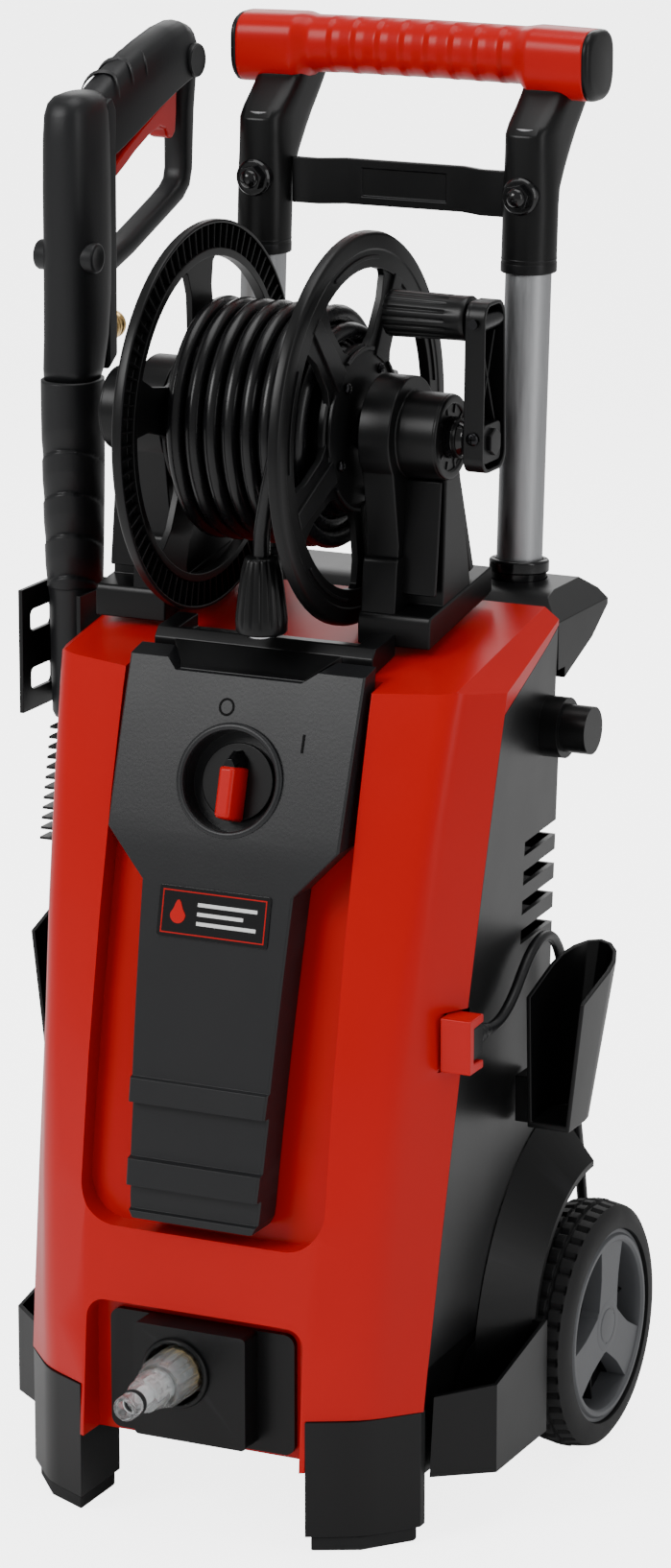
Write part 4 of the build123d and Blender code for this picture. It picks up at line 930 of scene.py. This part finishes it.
def lance_sleeve_ring(share):
    """Section of the lance's sleeve, share of the way up, with wavy finger grooves on one side."""
    z = SLEEVE_LOW + (SLEEVE_HIGH - SLEEVE_LOW) * share
    swell = 1.0 - 0.10 * (1 - share) ** 2
    ring = []
    for i in range(56):
        angle = 2 * pi * i / 56
        front = max(0.0, cos(angle + radians(70)))
        height = z - 0.556 + 0.012 * (1 - front)
        groove = 0.0
        if 0.0 < height < FINGER_PITCH * FINGERS:
            phase = (height / FINGER_PITCH) % 1.0
            groove = 0.0030 * max(0.0, 1 - phase / 0.55) ** 1.3 * front ** 0.6
        ring.append(Vector((LANCE_AXIS[0] + (0.0190 * swell - groove) * cos(angle),
                            LANCE_AXIS[1] + (0.0238 * swell - groove) * sin(angle) + 0.0030, z)))
    return ring


def make_lance():
    """Grip sleeve with finger grooves, a plain shank below, and a fluted nozzle at the foot of the tube."""
    bm = bmesh.new()
    add_loft(bm, [lance_sleeve_ring(k / SLEEVE_LEVELS) for k in range(SLEEVE_LEVELS + 1)])
    sleeve = piece_from("lance_grip_sleeve", bm, GUN, "gun")
    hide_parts("lance_grip")
    bm = bmesh.new()
    shank = [(0.462, 0.0070), (0.4625, 0.0122), (0.466, 0.0138), (0.500, 0.0144), (0.540, 0.0148),
             (0.546, 0.0156), (0.549, 0.0162)]
    add_lathe(bm, "z", LANCE_AXIS, shank)
    piece_from("lance_shank", bm, GUN, "gun")
    rows = [(0.262, 0.55, 0.0), (0.2625, 0.86, 0.0), (0.2650, 0.96, 0.3), (0.2700, 1.0, 1.0),
            (0.3010, 1.0, 1.0), (0.3050, 0.96, 0.2), (0.3090, 0.86, 0.0), (0.3260, 0.80, 0.0),
            (0.3298, 0.72, 0.0)]
    bm = bmesh.new()
    add_loft(bm, [fluted("z", z, LANCE_AXIS, 12, 0.0105 * share, 0.0010 * depth) for z, share, depth in rows])
    nozzle = piece_from("nozzle_fluted", bm, BLACK, "nozzle")
    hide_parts("lance_nozzle")


make_gun_column()
make_gun_grip()
make_gun_loop()
make_trigger()
make_lock_buttons()
make_brass_fitting()
make_lance()


# ---------------------------------------------------------------- panel and switch, in millimetres
def front_y(z):
    """Front of the red cover at height z."""
    t = 530.0 - z
    return -65.0 - 0.30 * t + 0.00025 * t * t


def panel_y(z):
    """Face of the panel at height z, before its steps."""
    return front_y(z) - 4.0 - min(7.0, 0.07 * (530.0 - z))


def between(pairs, at):
    """Value at a height from a falling list of (height, value) pairs."""
    for (high, first), (low, second) in zip(pairs, pairs[1:]):
        if low <= at <= high:
            return second + (first - second) * (at - low) / (high - low)
    return pairs[0][1] if at > pairs[0][0] else pairs[-1][1]


def carved(solid, cutters):
    """Mesh of a solid with the cutters taken out of it; all are bmeshes."""
    def temporary(bm):
        bmesh.ops.recalc_face_normals(bm, faces=bm.faces)
        mesh = bpy.data.meshes.new("cut")
        bm.to_mesh(mesh)
        bm.free()
        item = bpy.data.objects.new("cut", mesh)
        scene.collection.objects.link(item)
        return item

    body = temporary(solid)
    tools = [temporary(cutter) for cutter in cutters]
    for tool in tools:
        cut = body.modifiers.new("cut", "BOOLEAN")
        cut.operation = "DIFFERENCE"
        cut.solver = "EXACT"
        cut.object = tool
    result = bmesh.new()
    shape = body.evaluated_get(bpy.context.evaluated_depsgraph_get()).to_mesh()
    result.from_mesh(shape)
    for item in [body] + tools:
        mesh = item.data
        bpy.data.objects.remove(item)
        bpy.data.meshes.remove(mesh)
    return result


KNOB_LEAN = radians(16.0)
KNOB_AT = Vector((0.0, panel_y(466.0), 466.0)) * MM
KNOB_OUT = Vector((0.0, -cos(KNOB_LEAN), sin(KNOB_LEAN)))
KNOB_UP = Vector((0.0, sin(KNOB_LEAN), cos(KNOB_LEAN)))
RIGHT = Vector((1.0, 0.0, 0.0))
# Half widths of the panel, and how far its face stands out at the clapboard steps, by height.
PANEL_WIDTHS = [(545.0, 79.5), (432.0, 78.0), (403.0, 51.0), (290.0, 47.0), (205.0, 44.0), (199.0, 41.0)]
PANEL_STEPS = [(560.0, 0.0), (285.6, 0.0), (284.6, 2.6), (270.4, 3.6), (269.8, -2.6), (236.4, -1.6),
               (235.4, 2.2), (219.6, 3.2), (219.0, -3.0), (204.2, -2.6), (203.4, 0.4), (199.0, 0.4)]
PANEL_LEVELS = [199.0, 203.4, 204.2, 211.0, 219.0, 219.6, 227.0, 235.4, 236.4, 244.0, 252.0, 261.0, 269.8,
                270.4, 277.0, 284.6, 285.6, *range(292, 403, 10), 403.0, 412.0, 422.0, 432.0,
                *range(442, 523, 10)]


def on_knob(across, up, out):
    """Point in the knob's plane, from millimetres."""
    return KNOB_AT + (RIGHT * across + KNOB_UP * up + KNOB_OUT * out) * MM


def knob_ring(radius, out, count=64):
    return [on_knob(a, b, out) for a, b in circle(radius, count)]


def panel_section(z):
    """Section of the panel with chamfered front edges."""
    half = between(PANEL_WIDTHS, z)
    face = panel_y(z) - between(PANEL_STEPS, z)
    rear = front_y(z) + 15.4
    return [Vector((x, y, z)) * MM for x, y in (
        (-half, rear), (-half, face + 1.2), (-half + 1.2, face), (half - 1.2, face), (half, face + 1.2),
        (half, rear))]


def panel_top(section):
    """The highest section, raised to the sloping top edge of the panel."""
    top = []
    for point in section:
        rise = 536.5 + 10.0 + 0.19 * point.y / MM
        shift = panel_y(rise) - panel_y(PANEL_LEVELS[-1]) if point.y <= -0.06 else 0.0
        top.append(Vector((point.x, point.y + shift * MM, rise * MM)))
    return top


def make_panel():
    """Moulded panel: leaning head with shoulders, waist and clapboard steps at the foot."""
    sections = [panel_section(z) for z in PANEL_LEVELS]
    solid = bmesh.new()
    add_loft(solid, sections[:-1] + [panel_top(sections[-1])])
    well = bmesh.new()
    add_loft(well, [knob_ring(31.2, -15.0), knob_ring(32.5, 12.0)])
    notch = bmesh.new()
    add_prism(notch, "y", [(0.038, 0.526), (0.069, 0.547), (-0.066, 0.547), (-0.047, 0.526)], -0.12, -0.03)
    panel = piece_from("panel_moulding", carved(solid, [well, notch]), PANEL, "machine", (0.0011, 3, 25.0))
    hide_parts("control_panel")
    rim = bmesh.new()
    profile = ((31.0, 1.0), (31.4, 1.9), (33.0, 2.3), (35.0, 1.9), (35.6, 0.2), (33.0, -3.0), (31.0, -3.0))
    add_hoops(rim, [knob_ring(radius, out, 72) for radius, out in profile])
    piece_from("knob_well_rim", rim, PANEL, "machine")


def make_switch():
    """Gripping bar of the mode switch: a tapered red handle with a black pointer at its tip."""
    low, high = -23.5, 8.0
    sections = []
    for out, shrink, tip in ((-10.7, -0.8, 0.0), (-2.0, 0.0, 0.0), (5.2, 0.8, 0.5), (7.0, 2.4, 2.0)):
        half = 6.0 - shrink
        sections.append([on_knob(across, up, out) for across, up in (
            (-half, low + shrink + 1.5), (-half + 1.5, low + shrink), (half - 1.5, low + shrink),
            (half, low + shrink + 1.5), (half, high - tip), (half - 1.2, high - tip + 1.0),
            (-half + 1.2, high - tip + 1.0), (-half, high - tip))])
    bm = bmesh.new()
    add_loft(bm, sections)
    bar = piece_from("switch_grip", bm, DEEP_RED, "knob", (0.0012, 3, 25.0))
    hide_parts("switch_bar")
    sections = []
    for out, half, foot, tip in ((-10.7, 5.8, 8.6, 19.5), (-3.0, 4.8, 8.6, 18.6), (3.6, 4.2, 8.6, 13.0)):
        sections.append([on_knob(across, up, out) for across, up in (
            (-half, foot), (half, foot), (half, tip - 5.0), (1.2, tip), (-1.2, tip), (-half, tip - 5.0))])
    bm = bmesh.new()
    add_loft(bm, sections)
    piece_from("switch_pointer", bm, GLOSS, "knob", (0.0006, 2, 25.0))


def on_panel(across, z, slope_at, out):
    """Point on the panel's face, out millimetres in front of it."""
    slope = (panel_y(slope_at + 1.0) - panel_y(slope_at - 1.0)) / 2
    lean = sqrt(1 + slope * slope)
    y = panel_y(slope_at) + slope * (z - slope_at)
    return Vector((across, y - out / lean, z + out * slope / lean)) * MM


def panel_plate(name, outline, centre_z, low, high, material, soft=None):
    """Thin plate on the panel; outline is given as (across, height above centre_z)."""
    bm = bmesh.new()
    add_loft(bm, [[on_panel(a, centre_z + b, centre_z, out) for a, b in outline] for out in (low, high)])
    piece_from(name, bm, material, "machine", soft, smooth=False)


def panel_band(name, outer, inner, centre_z, low, high, material):
    """Thin closed band on the panel, between two outlines with the same number of points."""
    bm = bmesh.new()
    loops = ((outer, low), (outer, high), (inner, high), (inner, low))
    add_hoops(bm, [[on_panel(a, centre_z + b, centre_z, out) for a, b in outline] for outline, out in loops])
    piece_from(name, bm, material, "machine", None, smooth=False)


def make_marks():
    """A ring and a bar in place of the words at the dial's two positions."""
    outer, inner = [moved(circle(radius, 40), -9.0, 0.0) for radius in (5.2, 3.9)]
    panel_band("mark_off", outer, inner, 508.0, -0.1, 0.3, INK)
    panel_plate("mark_on", moved(rectangle(1.6, 10.8), 45.0, 0.0), 492.0, -0.1, 0.3, INK)


def make_badge():
    """Plain name plate without a name: a bordered plate with a drop and three bars."""
    z = 386.5
    panel_plate("badge_plate", rounded_box(75.0, 31.0, 2.0, 3), z, -0.5, 0.9, GLOSS, (0.0003, 2))
    panel_band("badge_border", rectangle(70.0, 26.0), rectangle(68.6, 24.6), z, 0.7, 1.05, DEEP_RED)
    drop = []
    for c, s in circle(1.0, 25):
        reach = 5.2 * (1.0 + 0.75 * max(0.0, s) ** 7)
        drop.append((-24.0 + reach * c * (1 - 0.35 * max(0.0, s)), -1.6 + reach * s))
    panel_plate("badge_drop", drop, z, 0.7, 1.2, DEEP_RED)
    for k, (height, length) in enumerate(((5.6, 40.0), (0.0, 31.0), (-5.6, 40.0))):
        bar = moved(rectangle(length, 2.2), length / 2 - 11.0, height)
        panel_plate(f"badge_bar_{k + 1}", bar, z, 0.7, 1.15, WHITE)


make_panel()
make_switch()
make_marks()
make_badge()


# ---------------------------------------------------------------- water inlet
INLET = (-0.009, 0.104)     # its axis (x, z)


def make_nut():
    """Clear nut with ribs round it; rows hold (along, radius, height of the ribs)."""
    rows = ((-0.1430, 0.0150, 0.0), (-0.1445, 0.0157, 0.0), (-0.1480, 0.0157, 0.0009),
            (-0.1720, 0.0152, 0.0009), (-0.1755, 0.0145, 0.0), (-0.1770, 0.0138, 0.0),
            (-0.1770, 0.0118, 0.0), (-0.1430, 0.0132, 0.0))
    bm = bmesh.new()
    add_hoops(bm, [rippled("y", along, INLET, 96, lambda i: radius + (rib if i % 6 < 3 else 0.0))
                   for along, radius, rib in rows])
    nut = piece_from("clear_union_nut", bm, CLEAR, "nut", (0.0002, 1, 35.0))
    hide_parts("union_nut")


def make_filter():
    """Clear cup with its nipple, the sieve in it and the seal ring on it."""
    cup = [(-0.1500, 0.0114), (-0.1800, 0.0116), (-0.1830, 0.0124), (-0.1850, 0.0124), (-0.1870, 0.0112),
           (-0.1960, 0.0108), (-0.1985, 0.0095), (-0.2010, 0.0080), (-0.2055, 0.0078), (-0.2062, 0.0062),
           (-0.2095, 0.0062), (-0.2102, 0.0078), (-0.2195, 0.0078), (-0.2208, 0.0070), (-0.2208, 0.0054),
           (-0.1995, 0.0054), (-0.1940, 0.0092), (-0.1500, 0.0100)]
    bm = bmesh.new()
    add_lathe(bm, "y", INLET, cup, closed=True)
    clear = piece_from("clear_filter_cup", bm, CLEAR, "machine", (0.0002, 1, 35.0))
    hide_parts("filter_body")
    bm = bmesh.new()
    bar = [(0.0076, -0.0007), (0.0086, -0.0007), (0.0086, 0.0007), (0.0076, 0.0007)]
    for k in range(12):
        add_prism(bm, "y", turned(bar, 2 * pi * k / 12, INLET), -0.1940, -0.1500)
    band = [(-0.0008, 0.0074), (-0.0008, 0.0089), (0.0008, 0.0089), (0.0008, 0.0074)]
    for along in (-0.1935, -0.1850, -0.1765, -0.1680, -0.1595, -0.1515):
        add_lathe(bm, "y", INLET, shifted(band, 1, along), 36, closed=True)
    add_lathe(bm, "y", INLET, [(-0.1942, 0.0040), (-0.1942, 0.0072), (-0.1500, 0.0072)], 36)
    piece_from("filter_sieve", bm, WHITE, "machine")
    bm = bmesh.new()
    add_lathe(bm, "y", INLET, moved(circle(0.0017, 14), -0.2078, 0.0068), 40, closed=True)
    piece_from("nipple_seal_ring", bm, PAD, "machine")


def make_inlet_collar():
    collar = [(-0.1512, 0.0190), (-0.1545, 0.0194), (-0.1552, 0.0202), (-0.1552, 0.0214), (-0.1540, 0.0224),
              (-0.1512, 0.0228)]
    bm = bmesh.new()
    add_lathe(bm, "y", INLET, collar, 72, closed=True)
    piece_from("inlet_collar", bm, BLACK, "machine", (0.0004,))


make_nut()
make_filter()
make_inlet_collar()


# ---------------------------------------------------------------- handle fittings
TUBE_X = 0.0916
SLEEVE_R = 0.0174
NUT_Z = 0.797
NUT_Y = 0.1485     # middle of the tube at the nuts' height


def tube_y(z):
    """Middle of the leaning handle tubes at height z."""
    return 0.1457 + 0.059 * (z - 0.750)


def make_sleeve_nuts():
    """Domed nut on a round boss, on the front of each handle sleeve."""
    front = NUT_Y - SLEEVE_R
    boss = [(0.006, 0.0118), (-0.0010, 0.0118), (-0.0026, 0.0106), (-0.0026, 0.0092)]
    dome = [(-0.0064, 0.0066)]
    for angle in (0, 20, 40, 60, 78):
        dome.append((-0.0066 - 0.0046 * sin(radians(angle)), 0.0062 * cos(radians(angle))))
    bm = bmesh.new()
    for side in (-1, 1):
        centre = (side * TUBE_X, NUT_Z)
        add_lathe(bm, "y", centre, shifted(boss, 1, front), 40)
        add_prism(bm, "y", moved(circle(0.0084, 6, radians(12)), *centre), front - 0.0068, front - 0.0020)
        add_lathe(bm, "y", centre, shifted(dome, 1, front), 32)
    nuts = piece_from("sleeve_dome_nuts", bm, GLOSS, "handle", (0.0005, 2, 35.0))
    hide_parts("handle_bolts")


def make_sleeve_rings():
    """Moulded steps round the foot of each sleeve."""
    bore = 0.0168
    bm = bmesh.new()
    for side in (-1, 1):
        for low, high, radius in ((0.7485, 0.7545, 0.01765), (0.7560, 0.7575, 0.01755)):
            section = ((low, bore), (low, radius), (high, radius), (high, bore))
            add_hoops(bm, [hoop("z", z, (side * TUBE_X, tube_y(z)), circle(reach, 48))
                           for z, reach in section])
    piece_from("sleeve_foot_rings", bm, BLACK, "handle", (0.0003, 1))


make_sleeve_nuts()
make_sleeve_rings()


# ---------------------------------------------------------------- reel bearings
def make_bearing(side, name, outer):
    """Ring at the end of a tower's hub, with teeth round its bore."""
    ring = [(-0.004, 0.0200), (-0.004, 0.0262), (0.0004, 0.0262), (0.0014, 0.0250), (0.0014, 0.0212),
            (0.0, 0.0200)]
    tooth = [(0.0150, -0.0011), (0.0205, -0.0011), (0.0205, 0.0011), (0.0150, 0.0011)]
    bm = bmesh.new()
    add_lathe(bm, "x", REEL_AXIS, shifted(ring, side, side * outer), 64, closed=True)
    for k in range(10):
        outline = turned(tooth, 2 * pi * k / 10, REEL_AXIS)
        add_prism(bm, "x", outline, side * (outer - 0.004), side * (outer + 0.0004))
    piece_from(name, bm, BLACK, "machine", (0.0004, 1))


make_bearing(1, "bearing_ring_right", 0.0964)
make_bearing(-1, "bearing_ring_left", 0.1304)


# ---------------------------------------------------------------- strain relief of the cord
def make_cord_relief():
    """Ribbed boot round the cord where it leaves the machine."""
    ribs = ((0.0, 0.0064), (0.003, 0.0066), (0.0045, 0.0056), (0.0065, 0.0056), (0.0080, 0.0062),
            (0.0095, 0.0052), (0.0115, 0.0052), (0.0130, 0.0057), (0.0145, 0.0048), (0.0165, 0.0048),
            (0.0180, 0.0053), (0.0195, 0.0045), (0.0225, 0.0044), (0.0245, 0.0041))
    bm = bmesh.new()
    add_lathe(bm, "y", (0.1475, 0.3140), shifted(ribs, 1, -0.0640), 32)
    piece_from("cord_strain_relief", bm, CORD, "machine", (0.0003, 1))


make_cord_relief()


# ---------------------------------------------------------------- handle sleeves
def make_sleeves():
    """Handle sleeves: round below, growing rearward into the socket that holds the grip.
    Rows hold (height, cut in front, reach behind, power of the section)."""
    rows = ((0.7480, 0.0, 0.0, 2.0), (0.7900, 0.0, 0.0, 2.0), (0.8000, 0.0, 0.0010, 2.1),
            (0.8120, 0.0, 0.0090, 2.4), (0.8240, 0.0, 0.0180, 2.8), (0.8340, 0.0, 0.0260, 3.2),
            (0.8400, 0.0060, 0.0305, 3.6), (0.8480, 0.0170, 0.0365, 4.0), (0.8560, 0.0270, 0.0420, 4.4),
            (0.8600, 0.0310, 0.0440, 4.8), (0.8700, 0.0330, 0.0400, 4.8))
    bm = bmesh.new()
    for side in (-1, 1):
        sections = []
        for z, cut, reach, power in rows:
            low = tube_y(z) - SLEEVE_R + cut
            high = tube_y(z) + SLEEVE_R + reach
            half_x = SLEEVE_R - 0.0008 * min(1.0, max(0.0, (z - 0.800) / 0.05))
            sections.append(squircle(half_x, (high - low) / 2, side * TUBE_X, (high + low) / 2, z, power, 56))
        add_loft(bm, sections)
    sleeves = piece_from("handle_sleeves", bm, BLACK, "handle", (0.0012, 3, 40.0))
    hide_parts("handle_frame")


make_sleeves()


# ---------------------------------------------------------------- tray strip and clip insert
def make_tray_ramp():
    """Sloping strip that closes the gap between the panel's notch and the tray."""
    foot = 0.5255
    sections = []
    for y, z, left, right in ((-0.0655, 0.5264, -0.0465, 0.0375), (-0.0600, 0.5290, -0.0490, 0.0405),
                              (-0.0475, 0.5385, -0.0590, 0.0530), (-0.0440, 0.5396, -0.0600, 0.0540)):
        sections.append(hoop("y", y, (0.0, 0.0), [(left, z), (right, z), (right, foot), (left, foot)]))
    bm = bmesh.new()
    add_loft(bm, sections)
    piece_from("tray_ramp", bm, BLACK, "machine", (0.0006, 2))


def make_clip_insert():
    """Black grommet that the cord passes through, inside the red clip."""
    bm = bmesh.new()
    add_prism(bm, "y", moved(rounded_box(0.0135, 0.0225, 0.0030), 0.1475, 0.3145), -0.0745, -0.0615)
    piece_from("cord_clip_insert", bm, BLACK, "machine", (0.0006, 2))


make_tray_ramp()
make_clip_insert()


# ---------------------------------------------------------------- tower mouldings
def make_tower_mouldings(side, name, inner):
    """Stepped plinth with a side rib and a fin, on a reel tower; inner is the tower's inner face."""
    plinth = [(-0.0140, 0.5400), (-0.0140, 0.5560), (-0.0120, 0.5600), (0.0800, 0.5740), (0.0800, 0.5580)]
    step = [(-0.0115, 0.5590), (-0.0080, 0.5900), (-0.0060, 0.5930), (0.0760, 0.6010), (0.0790, 0.5980),
            (0.0790, 0.5720)]
    rib = [(0.0370, 0.6400), (0.0420, 0.6400), (0.0640, 0.5760), (0.0580, 0.5740)]
    fin = [(0.0000, 0.5700), (0.0035, 0.5700), (0.0120, 0.6400), (0.0095, 0.6400)]
    bm = bmesh.new()
    for outline, low, high in ((plinth, -0.0012, 0.0472), (step, -0.0006, 0.0225), (rib, 0.0200, 0.0420),
                               (fin, 0.0200, 0.0440)):
        add_prism(bm, "x", outline, side * (inner + low), side * (inner + high))
    piece_from(name, bm, BLACK, "machine", (0.0016, 3))


make_tower_mouldings(1, "tower_mouldings_right", 0.050)
make_tower_mouldings(-1, "tower_mouldings_left", 0.084)
